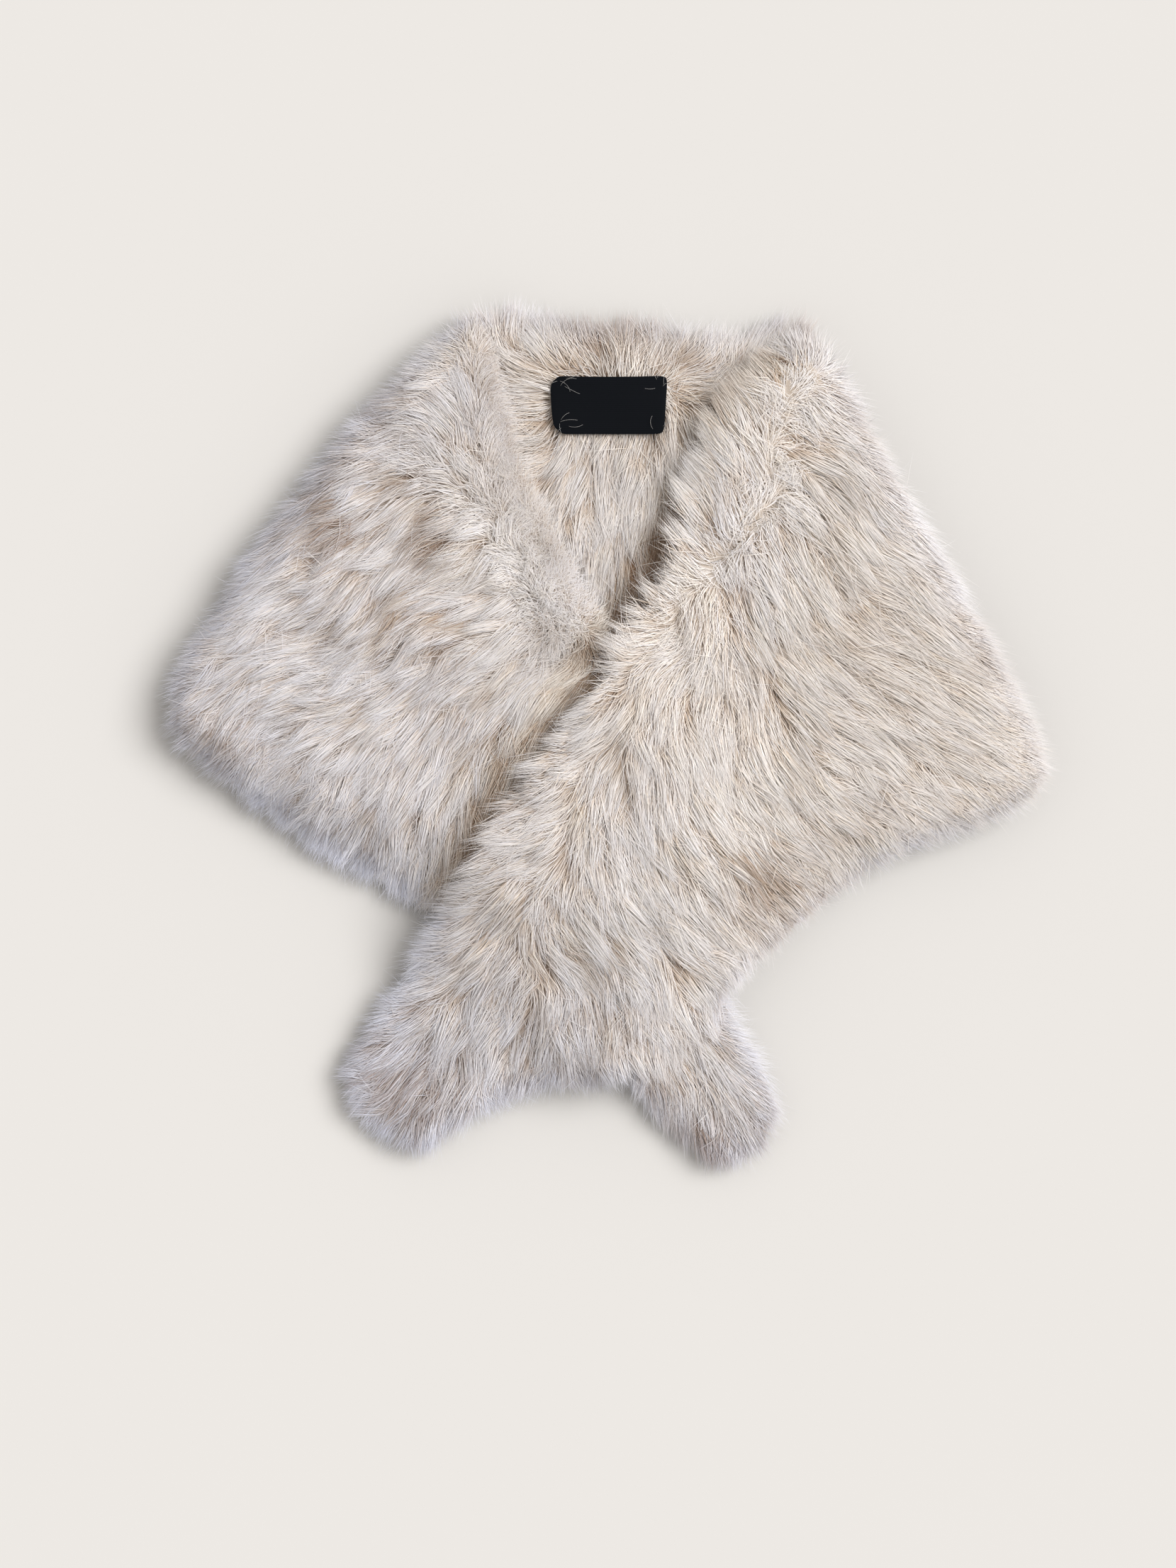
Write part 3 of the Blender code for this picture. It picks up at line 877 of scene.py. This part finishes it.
def lit(strip, seeds, path, fraction):
    """Shading normals: those of the pile's soft surface, with a little of each tuft's own roundness."""
    read = strip.plan.read
    soft = softer(seeds.roots)
    outer = 1 - smoothstep(0, RIM_BAND, strip.depth(path))
    level = 2 * np.clip(fraction, 0, 1) - 1
    turned = RIM_TURN * outer * (1 - RIDGE_LESS_TURN * seeds.upright)[:, None] * np.sqrt(1 - level**2)
    turned *= 1 - (1 - LAYER_TURN_SHARE) * strip.edge_over_layer(path)
    turned *= (1 - SOFTER_RIM * soft)[:, None]
    relief = RELIEF_TURN * (1 - SOFTER_RELIEF * soft)[:, None]
    tuft = TUFT_ROUNDNESS * (1 - RIM_LESS_ROUND * outer)
    tuft *= (1 - RIDGE_LESS_ROUND * seeds.upright)[:, None] * (1 - SOFTER_TUFTS * soft)[:, None]
    normals = np.zeros((*path.shape[:2], 3))
    normals[..., 0] = relief * read(strip.relief_x, path) - read(strip.reach.slope_x, path)
    normals[..., 1] = relief * read(strip.relief_y, path) - read(strip.reach.slope_y, path)
    normals[..., 2] = (1 - outer) + outer * np.maximum(level, LEAST_FACING)
    normals[..., :2] += turned[..., None] * strip.out(path)
    normals[..., :2] += tuft[..., None] * (seeds.offset / strip.tufts.spacing)[:, None]
    return normalised(normals)


def shade(rng, strip, coat, seeds, path):
    """Tone and warmth of each strand, with painted shade and painted light in places."""
    count = len(path)
    rim = strip.soft_rim(seeds.roots)
    soft = softer(seeds.roots)
    # Towards the key light the tones vary less: painted light.
    calmer = (1 - RIDGE_CALMER * seeds.upright) * (1 - RIM_CALMER * rim) * (1 - SOFTER_TONES * soft)
    pressed_and_shaded = strip.pressed_and_shaded(path[:, 1])
    tone = TONE + coat.tone * (1 - rim * soft) + TUFT_TONE * strip.tufts.tone[seeds.tuft] * calmer
    tone += LOCK_TONE * strip.locks.tone[seeds.lock] + CREST_TONE * (seeds.crest - 0.5) * calmer
    # The ridge's lower tone is painted shade.
    tone += rng.normal(0, STRAND_TONE, count) * calmer + RIDGE_SHADE_TONE * seeds.upright
    # Beside the topmost strip's edge the pile is painted darker and warmer: partly its pressed roots, partly
    # painted shadow.
    patchy = strip.locks.height[seeds.lock] if strip.name == "left" else 1.0
    tone -= PRESSED_SHADE_TONE * pressed_and_shaded * patchy
    # The rim towards the key light is painted darker: painted shade.
    tone += LIT_RIM_SHADE_TONE * rim * soft
    # Warmer towards the key light and cooler away from it: painted light and shade.
    warmth = WARMTH + PAINTED_LIGHT_WARMTH_X * seeds.roots[:, 0] + PAINTED_LIGHT_WARMTH_Y * seeds.roots[:, 1]
    warmth += rng.normal(0, STRAND_WARMTH, count) + PRESSED_SHADE_WARMTH * pressed_and_shaded
    uncalm = 1 - strip.calm(seeds.roots)
    tone += UNCALM_TONE * uncalm
    warmth += UNCALM_WARMTH * uncalm
    # Partings darken and warm the pile: its brown roots, and painted shade in the gaps and creases between
    # locks.
    for x0, y0, x1, y1, width, paler in strip.shaded_partings:
        aside = distance_to_line(path[:, 1], ((x0, y0), (x1, y1)))
        share = np.exp(-((aside / width) ** 2))
        tone += paler * share
        warmth -= PARTING_SHADE_WARMTH * paler * share
    # The rim is tinted cooler: painted shade.
    warmth += RIM_SHADE_WARMTH * rim
    # Spots of painted shade and painted light.
    for x, y, radius, paler, warmer in PAINTED_LIGHT_AND_TONE_SPOTS:
        share = near(seeds.roots, x, y, radius)
        tone += paler * share
        warmth += warmer * share
    return np.clip(tone, 0, MOST_SHADE), np.clip(warmth, 0, MOST_SHADE)


def joined(parts):
    """The strands of all these parts as one set."""
    return Strands(*(np.concatenate(column) for column in zip(*parts)))


def strand_mesh(rng, name, strands):
    """One mesh of flat tapered ribbons: each has two corners at every step and one at its tip."""
    count = len(strands.points)
    points = strands.points
    ahead = normalised(np.gradient(points, axis=1))
    side = normalised(np.cross(ahead, strands.normals))
    over = np.cross(side, ahead)
    twist = rng.uniform(-STRAND_TWIST, STRAND_TWIST, count)[:, None, None]
    side = side * np.cos(twist) + over * np.sin(twist)
    reach = side * (strands.width[:, None] * np.array(STRAND_TAPER) / 2)[:, :, None]
    corner_count = 2 * STRAND_STEPS + 1
    corners = np.stack([points - reach, points + reach], 2).reshape(count, -1, 3)[:, :corner_count]
    corners[..., 2] = np.maximum(corners[..., 2], LOWEST / 2)
    normals = np.repeat(strands.normals, 2, axis=1)[:, :corner_count]
    loops = [2 * step + corner for step in range(STRAND_STEPS - 1) for corner in (0, 1, 3, 2)]
    loops = np.array(loops + [corner_count - 3, corner_count - 2, corner_count - 1])
    starts = np.arange(STRAND_STEPS) * 4
    every = np.arange(count)[:, None]
    mesh = bpy.data.meshes.new(name)
    mesh.vertices.add(count * corner_count)
    mesh.vertices.foreach_set("co", (corners * MM).astype(np.float32).ravel())
    mesh.loops.add(count * len(loops))
    mesh.loops.foreach_set("vertex_index", (loops + corner_count * every).astype(np.int32).ravel())
    mesh.polygons.add(count * STRAND_STEPS)
    mesh.polygons.foreach_set("loop_start", (starts + len(loops) * every).astype(np.int32).ravel())
    mesh.update(calc_edges=True)
    mesh.shade_smooth()
    colour_strands(mesh, strands, loops)
    mesh.normals_split_custom_set_from_vertices(normals.reshape(-1, 3))
    return mesh


def colour_strands(mesh, strands, loops):
    """Writes how far along a strand each corner is, its tone and warmth, and a map that unrolls all three."""
    corner_count = 2 * STRAND_STEPS + 1
    step = np.arange(corner_count) // 2 / STRAND_STEPS
    along = strands.start[:, None] + (1 - strands.start[:, None]) * step[None]
    tone = np.floor(strands.tone * TONES)
    warmth = np.floor(strands.warmth * WARMTHS)
    values = {
        "along": along.ravel(),
        "tone": np.repeat((tone + 0.5) / TONES, corner_count),
        "warmth": np.repeat((warmth + 0.5) / WARMTHS, corner_count),
    }
    for name, value in values.items():
        attribute = mesh.attributes.new(name, "FLOAT", "POINT")
        attribute.data.foreach_set("value", value.astype(np.float32))
    columns = TONES * WARMTHS
    column = tone * WARMTHS + warmth
    aside = np.array([-COLUMN_FILL, COLUMN_FILL] * STRAND_STEPS + [0.0])
    across = (column[:, None] + 0.5 + aside[None]) / columns
    up = COLUMN_MARGIN + (1 - 2 * COLUMN_MARGIN) * along
    layer = mesh.uv_layers.new(name="OFBake")
    layer.data.foreach_set("uv", np.stack([across[:, loops], up[:, loops]], -1).astype(np.float32).ravel())


def place(mesh, name):
    """Adds a piece that stays with the root body."""
    piece = bpy.data.objects.new(name, mesh)
    bpy.context.scene.collection.objects.link(piece)
    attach(piece, "root")
    return piece


# ---- Materials

def new_material(name):
    """A material, its node tree and its shader."""
    material = bpy.data.materials.new(name)
    material.use_nodes = True
    return material, material.node_tree, material.node_tree.nodes["Principled BSDF"]


def set_inputs(tree, node, inputs):
    """Gives each of these inputs its value, or a link from another node's output."""
    for name, value in inputs.items():
        if isinstance(value, bpy.types.NodeSocket):
            tree.links.new(value, node.inputs[name])
        else:
            node.inputs[name].default_value = value


def add_node(tree, kind, inputs=None, **settings):
    node = tree.nodes.new(kind)
    for name, value in settings.items():
        setattr(node, name, value)
    set_inputs(tree, node, inputs or {})
    return node


def strand_value(tree, name):
    """What a strand's mesh says at each corner: along, tone or warmth."""
    return add_node(tree, "ShaderNodeAttribute", attribute_name=name).outputs["Fac"]


def colour_ramp(tree, factor, stops):
    """The colour at this factor, between stops that give a colour for each position."""
    ramp = add_node(tree, "ShaderNodeValToRGB", {"Fac": factor})
    elements = ramp.color_ramp.elements
    positions = list(stops)
    elements[0].position = positions[0]
    elements[1].position = positions[-1]
    for position in positions[1:-1]:
        elements.new(position)
    for element, position in zip(elements, positions):
        element.color = (*stops[position], 1)
    return ramp.outputs["Color"]


def multiplied(tree, first, second):
    """One colour times another."""
    node = add_node(tree, "ShaderNodeVectorMath", {0: first, 1: second}, operation="MULTIPLY")
    return node.outputs["Vector"]


def texture(tree, kind, inputs, **settings):
    """A texture that lies on its object."""
    place_on = add_node(tree, "ShaderNodeTexCoord").outputs["Object"]
    return add_node(tree, kind, {"Vector": place_on, **inputs}, **settings).outputs["Fac"]


def threads(tree, direction, scale, distortion):
    """Fine threads side by side, as bands."""
    inputs = {"Scale": scale, "Distortion": distortion}
    return texture(tree, "ShaderNodeTexWave", inputs, wave_type="BANDS", bands_direction=direction)


def bump(tree, height, strength, distance):
    """A surface normal from these heights, with the distance in metres."""
    node = add_node(tree, "ShaderNodeBump", {"Height": height, "Strength": strength, "Distance": distance})
    return node.outputs["Normal"]


def fur_material():
    """Pale tips over taupe roots, with a tone and a warmth for each strand."""
    material, tree, shader = new_material("ivory_fur_pile")
    hair = colour_ramp(tree, strand_value(tree, "along"), {
        0.0: (0.56, 0.41, 0.30),
        0.30: (0.77, 0.655, 0.54),
        0.62: (0.955, 0.925, 0.89),
        1.0: (1.0, 0.99, 0.985),
    })
    # Its darkest stops are reached mostly where shade is painted: beside the topmost strip's edge, in
    # partings and dark spots.
    tone = colour_ramp(tree, strand_value(tree, "tone"), {
        0.0: (0.33, 0.245, 0.185),
        0.16: (0.44, 0.35, 0.285),
        0.38: (0.625, 0.58, 0.545),
        0.69: (0.865, 0.865, 0.865),
        1.0: (0.888, 0.888, 0.888),
    })
    tint = add_node(tree, "ShaderNodeMix", data_type="RGBA")
    # The cool end also tints the painted shade of the rims and of the side away from the key light.
    cool = (0.825, 0.87, 1.02, 1)
    warm = (1.0, 0.945, 0.87, 1)
    set_inputs(tree, tint, {"Factor": strand_value(tree, "warmth"), 6: cool, 7: warm})
    set_inputs(tree, shader, {
        "Base Color": multiplied(tree, multiplied(tree, hair, tone), tint.outputs[2]),
        "Roughness": 0.62,
        "Specular IOR Level": 0.3,
        "Sheen Weight": 0.15,
        "Sheen Roughness": 0.5,
    })
    return material


def skin_material():
    """Backing and dense undercoat: mottled taupe with a short nap."""
    material, tree, shader = new_material("ivory_fur_undercoat")
    patches = texture(tree, "ShaderNodeTexNoise", {"Scale": 90.0, "Detail": 4.0})
    nap = texture(tree, "ShaderNodeTexNoise", {"Scale": 1400.0, "Detail": 3.0})
    set_inputs(tree, shader, {
        "Base Color": colour_ramp(tree, patches, {0.35: (0.40, 0.33, 0.27), 0.68: (0.62, 0.55, 0.48)}),
        "Normal": bump(tree, nap, 0.7, 0.0006),
        "Roughness": 0.9,
        "Sheen Weight": 0.3,
    })
    return material


def satin_material():
    """Near-black woven satin: fine floats one way, crossed by the weft."""
    material, tree, shader = new_material("black_satin_weave")
    warp = threads(tree, "X", 900.0, 0.6)
    weft = threads(tree, "Y", 520.0, 0.4)
    weave = add_node(tree, "ShaderNodeMath", {0: warp, 1: weft}, operation="MULTIPLY").outputs["Value"]
    ink = {0.0: (0.0022, 0.0028, 0.0042), 1.0: (0.0065, 0.0078, 0.0105)}
    set_inputs(tree, shader, {
        "Base Color": colour_ramp(tree, weave, ink),
        "Normal": bump(tree, weave, 0.35, 0.0001),
        "Roughness": 0.55,
        "Specular IOR Level": 0.04,
    })
    return material


def thread_material():
    """Pale tacking thread with a faint twist."""
    material, tree, shader = new_material("pale_thread")
    twist = threads(tree, "DIAGONAL", 700.0, 0.0)
    set_inputs(tree, shader, {
        "Base Color": colour_ramp(tree, twist, {0.0: (0.22, 0.215, 0.21), 1.0: (0.40, 0.39, 0.38)}),
        "Roughness": 0.7,
    })
    return material


def floor_material():
    """Smooth pale studio paper."""
    material, tree, shader = new_material("studio_paper")
    fibre = texture(tree, "ShaderNodeTexNoise", {"Scale": 6.0})
    set_inputs(tree, shader, {
        "Base Color": colour_ramp(tree, fibre, {0.0: (0.615, 0.600, 0.581), 1.0: (0.620, 0.605, 0.586)}),
        "Roughness": 0.95,
        "Specular IOR Level": 0.0,
    })
    return material


# ---- Pieces

def finished_mesh(work, name, material):
    """A mesh of this bmesh, which is freed."""
    mesh = bpy.data.meshes.new(name)
    work.to_mesh(mesh)
    work.free()
    mesh.materials.append(material)
    return mesh


def build_skin(node, strip, material):
    """The backing and undercoat of one stretch, drawn in from the reach of its pile."""
    work = bmesh.new()
    work.from_mesh(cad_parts[node].data)
    bmesh.ops.remove_doubles(work, verts=work.verts, dist=SKIN_MERGE * MM)
    read = strip.plan.read
    points = np.array([v.co for v in work.verts]) / MM
    flat = points[:, :2]
    inner = np.clip(strip.depth(flat) / SKIN_INSET_RUN, 0, 1)
    drawn_in = flat - strip.out(flat) * (SKIN_INSET * (1 - inner))[:, None]
    middle = (read(strip.reach.top, flat) + read(strip.reach.bottom, flat)) / 2
    new_middle = (read(strip.reach.top, drawn_in) + read(strip.reach.bottom, drawn_in)) / 2
    points[:, 2] = new_middle + (points[:, 2] - middle) * SKIN_SHARE - SKIN_DROP * inner
    points[:, :2] = drawn_in
    for vertex, point in zip(work.verts, points):
        vertex.co = Vector(point) * MM
    mesh = finished_mesh(work, f"{node}_skin", material)
    mesh.shade_smooth()
    skin = place(mesh, f"{node}_skin")
    softer_edges = skin.modifiers.new("Softer", "SUBSURF")
    softer_edges.levels = 1
    softer_edges.render_levels = 1
    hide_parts(node)
    return skin


def build_pile(rng, strip, name, box, material):
    """One piece of pile: every coat, each with its face and the fan along the rim."""
    parts = []
    for coat in COATS:
        face = sow(rng, strip, box, coat.face, ROOT_INSET, np.inf)
        if strip.ridge:
            more = sow(rng, strip, box, coat.ridge, ROOT_INSET / 2, np.inf)
            face = np.concatenate([face, more[distance_to_line(more, strip.ridge) < RIDGE_THICK]])
        rim = sow(rng, strip, box, coat.rim, ROOT_INSET, ROOT_INSET + RIM_ROOTS, RIM_COVERED)
        parts.append(grow(rng, strip, coat, seeds_of(rng, strip, face, False)))
        parts.append(grow(rng, strip, coat, seeds_of(rng, strip, rim, True)))
    strands = joined(parts)
    if len(strands.points) > MOST_STRANDS:
        raise ValueError(f"{name} has too many strands for one piece")
    mesh = strand_mesh(rng, name, strands)
    mesh.materials.append(material)
    return place(mesh, name)


def label_box():
    """Lowest corner, middle and half size of the label's solid."""
    low, high = (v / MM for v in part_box("label"))
    return low, (low + high) / 2, (high - low) / 2


def label_point(centre, half, u, v):
    """A point of the label's face: drawn in at its corners, wider at the top, its left end bowed out."""
    rounding = LABEL_ROUNDING[0] if u < 0 else LABEL_ROUNDING[1]
    power_x, power_y = LABEL_CORNER_POWERS
    x = u * (half.x * (LABEL_WIDTH + LABEL_TAPER * v) - rounding * abs(v) ** power_y)
    y = v * (half.y + LABEL_TALLER - rounding * abs(u) ** power_x) + LABEL_UP
    x -= LABEL_BOW * (1 - v * v) * max(-u, 0) ** 3
    y -= LABEL_SAG * (1 - u * u) * max(v, 0) ** 3
    wave = sum(height * math.sin(along * u + up * v + start) for height, along, up, start in LABEL_WAVES)
    return Vector((centre.x + x, centre.y + y, wave))


def build_label(material):
    """The woven label, a closed cloth with its edges turned under."""
    low, centre, half = label_box()
    power_x, power_y = LABEL_EDGE_POWERS
    work = bmesh.new()
    grid = {}
    for side in (0, 1):
        for i in range(LABEL_COLUMNS + 1):
            for j in range(LABEL_ROWS + 1):
                u = 2 * i / LABEL_COLUMNS - 1
                v = 2 * j / LABEL_ROWS - 1
                point = label_point(centre, half, u, v)
                cloth = LABEL_CLOTH * (1 - LABEL_EDGE_THINNER * max(abs(u) ** power_x, abs(v) ** power_y))
                point.z += low.z + LABEL_LIFT + side * cloth
                grid[side, i, j] = work.verts.new(point * MM)
    for i in range(LABEL_COLUMNS):
        for j in range(LABEL_ROWS):
            work.faces.new([grid[1, i, j], grid[1, i + 1, j], grid[1, i + 1, j + 1], grid[1, i, j + 1]])
            work.faces.new([grid[0, i, j], grid[0, i, j + 1], grid[0, i + 1, j + 1], grid[0, i + 1, j]])
    border = [(i, 0) for i in range(LABEL_COLUMNS)]
    border += [(LABEL_COLUMNS, j) for j in range(LABEL_ROWS)]
    border += [(i, LABEL_ROWS) for i in range(LABEL_COLUMNS, 0, -1)]
    border += [(0, j) for j in range(LABEL_ROWS, 0, -1)]
    rim = []
    for here, ahead in zip(border, border[1:] + border[:1]):
        rim.append(work.faces.new([grid[0, *here], grid[0, *ahead], grid[1, *ahead], grid[1, *here]]))
    for face in work.faces:
        face.smooth = True
    for face in rim:
        for edge in face.edges:
            edge.smooth = False
    label = place(finished_mesh(work, "label_satin", material), "label_satin")
    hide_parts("label")
    return label


def build_threads(rng, material):
    """Loose ends of the thread that tacks the label down at its four corners."""
    low, centre, half = label_box()
    work = bmesh.new()
    for u in (-1, 1):
        for v in (-1, 1):
            for _ in range(THREADS_A_CORNER):
                inward = rng.uniform(*THREAD_INWARD, 2)
                start = label_point(centre, half, u, v) - Vector((u * inward[0], v * inward[1], 0))
                start.z += low.z + THREAD_LIFT
                heading = rng.uniform(-math.pi, math.pi)
                add_thread(work, rng, start, heading, rng.uniform(*THREAD_LENGTH))
    mesh = finished_mesh(work, "label_threads", material)
    mesh.shade_smooth()
    return place(mesh, "label_threads")


def add_thread(work, rng, start, heading, length):
    """A thin round thread that rises, bends a little and comes down."""
    bend = rng.normal(0, THREAD_BEND)
    arch = rng.uniform(*THREAD_ARCH)
    rings = []
    point = start.copy()
    for step in range(THREAD_STEPS + 1):
        share = step / THREAD_STEPS
        turned = heading + bend * share
        along = Vector((math.cos(turned), math.sin(turned), 0))
        side = Vector((-along.y, along.x, 0))
        middle = point + Vector((0, 0, arch * math.sin(math.pi * share)))
        ring = []
        for corner in range(THREAD_SIDES):
            angle = math.tau * corner / THREAD_SIDES
            outward = side * math.cos(angle) + Vector((0, 0, math.sin(angle)))
            ring.append(work.verts.new((middle + THREAD_RADIUS * outward) * MM))
        rings.append(ring)
        point = point + along * (length / THREAD_STEPS)
    for here, ahead in zip(rings[:-1], rings[1:]):
        for corner in range(THREAD_SIDES):
            following = (corner + 1) % THREAD_SIDES
            work.faces.new([here[corner], here[following], ahead[following], ahead[corner]])
    work.faces.new(rings[0][::-1])
    work.faces.new(rings[-1])


# ---- Stage

def build_floor(material):
    """A floor so wide that a low view sees no edge of it."""
    mesh = bpy.data.meshes.new("floor")
    corners = [(x * FLOOR_HALF, y * FLOOR_HALF, 0) for x, y in ((-1, -1), (1, -1), (1, 1), (-1, 1))]
    mesh.from_pydata(corners, [], [(0, 1, 2, 3)])
    mesh.materials.append(material)
    floor = bpy.data.objects.new("floor", mesh)
    bpy.context.scene.collection.objects.link(floor)


def light_stage():
    """A soft key light from above and from the right, and an even sky."""
    light = bpy.data.lights.new("key", "SUN")
    light.energy = KEY_STRENGTH
    light.angle = KEY_SPREAD
    light.color = KEY_COLOUR
    lamp = bpy.data.objects.new("key", light)
    lamp.rotation_euler = Vector(KEY_TOWARDS).to_track_quat("Z", "Y").to_euler()
    bpy.context.scene.collection.objects.link(lamp)
    world = bpy.data.worlds.new("studio")
    world.use_nodes = True
    background = world.node_tree.nodes["Background"]
    background.inputs["Color"].default_value = SKY_COLOUR
    background.inputs["Strength"].default_value = SKY_STRENGTH
    bpy.context.scene.world = world
    bpy.context.scene.view_settings.view_transform = "Standard"


def add_camera():
    """Straight above, as high as fits the frame's height to the plane of the pile."""
    data = bpy.data.cameras.new("camera")
    data.sensor_width = SENSOR
    data.lens = LENS
    camera = bpy.data.objects.new("camera", data)
    distance = FRAME_HEIGHT * LENS / SENSOR
    camera.location = Vector((*FRAME_MIDDLE, PILE_PLANE + distance)) * MM
    bpy.context.scene.collection.objects.link(camera)
    bpy.context.scene.camera = camera


def build():
    rng = np.random.default_rng(SEED)
    plan = Plan(*CAD_BOX)
    back = Strip(rng, plan, "back", BACK_COMB)
    left = Strip(rng, plan, "left", LEFT_COMB, LEFT_RIDGE, LEFT_SHADED_PARTINGS)
    right = Strip(rng, plan, "right", RIGHT_COMB, (), RIGHT_SHADED_PARTINGS)
    back.covers = [left, right]
    left.covers = [right]
    left.lies_on = [back]
    right.lies_on = [back, left]
    strip_of = {node: strip for strip in (back, left, right) for node in STRIPS[strip.name]}
    pile = fur_material()
    under = skin_material()
    skins = {node: build_skin(node, strip, under) for node, strip in strip_of.items()}
    furs = {
        node: [build_pile(rng, strip, name, box, pile) for name, box in PILES[node].items()]
        for node, strip in strip_of.items()
    }
    label = build_label(satin_material())
    build_threads(rng, thread_material())
    build_floor(floor_material())
    light_stage()
    add_camera()


build()
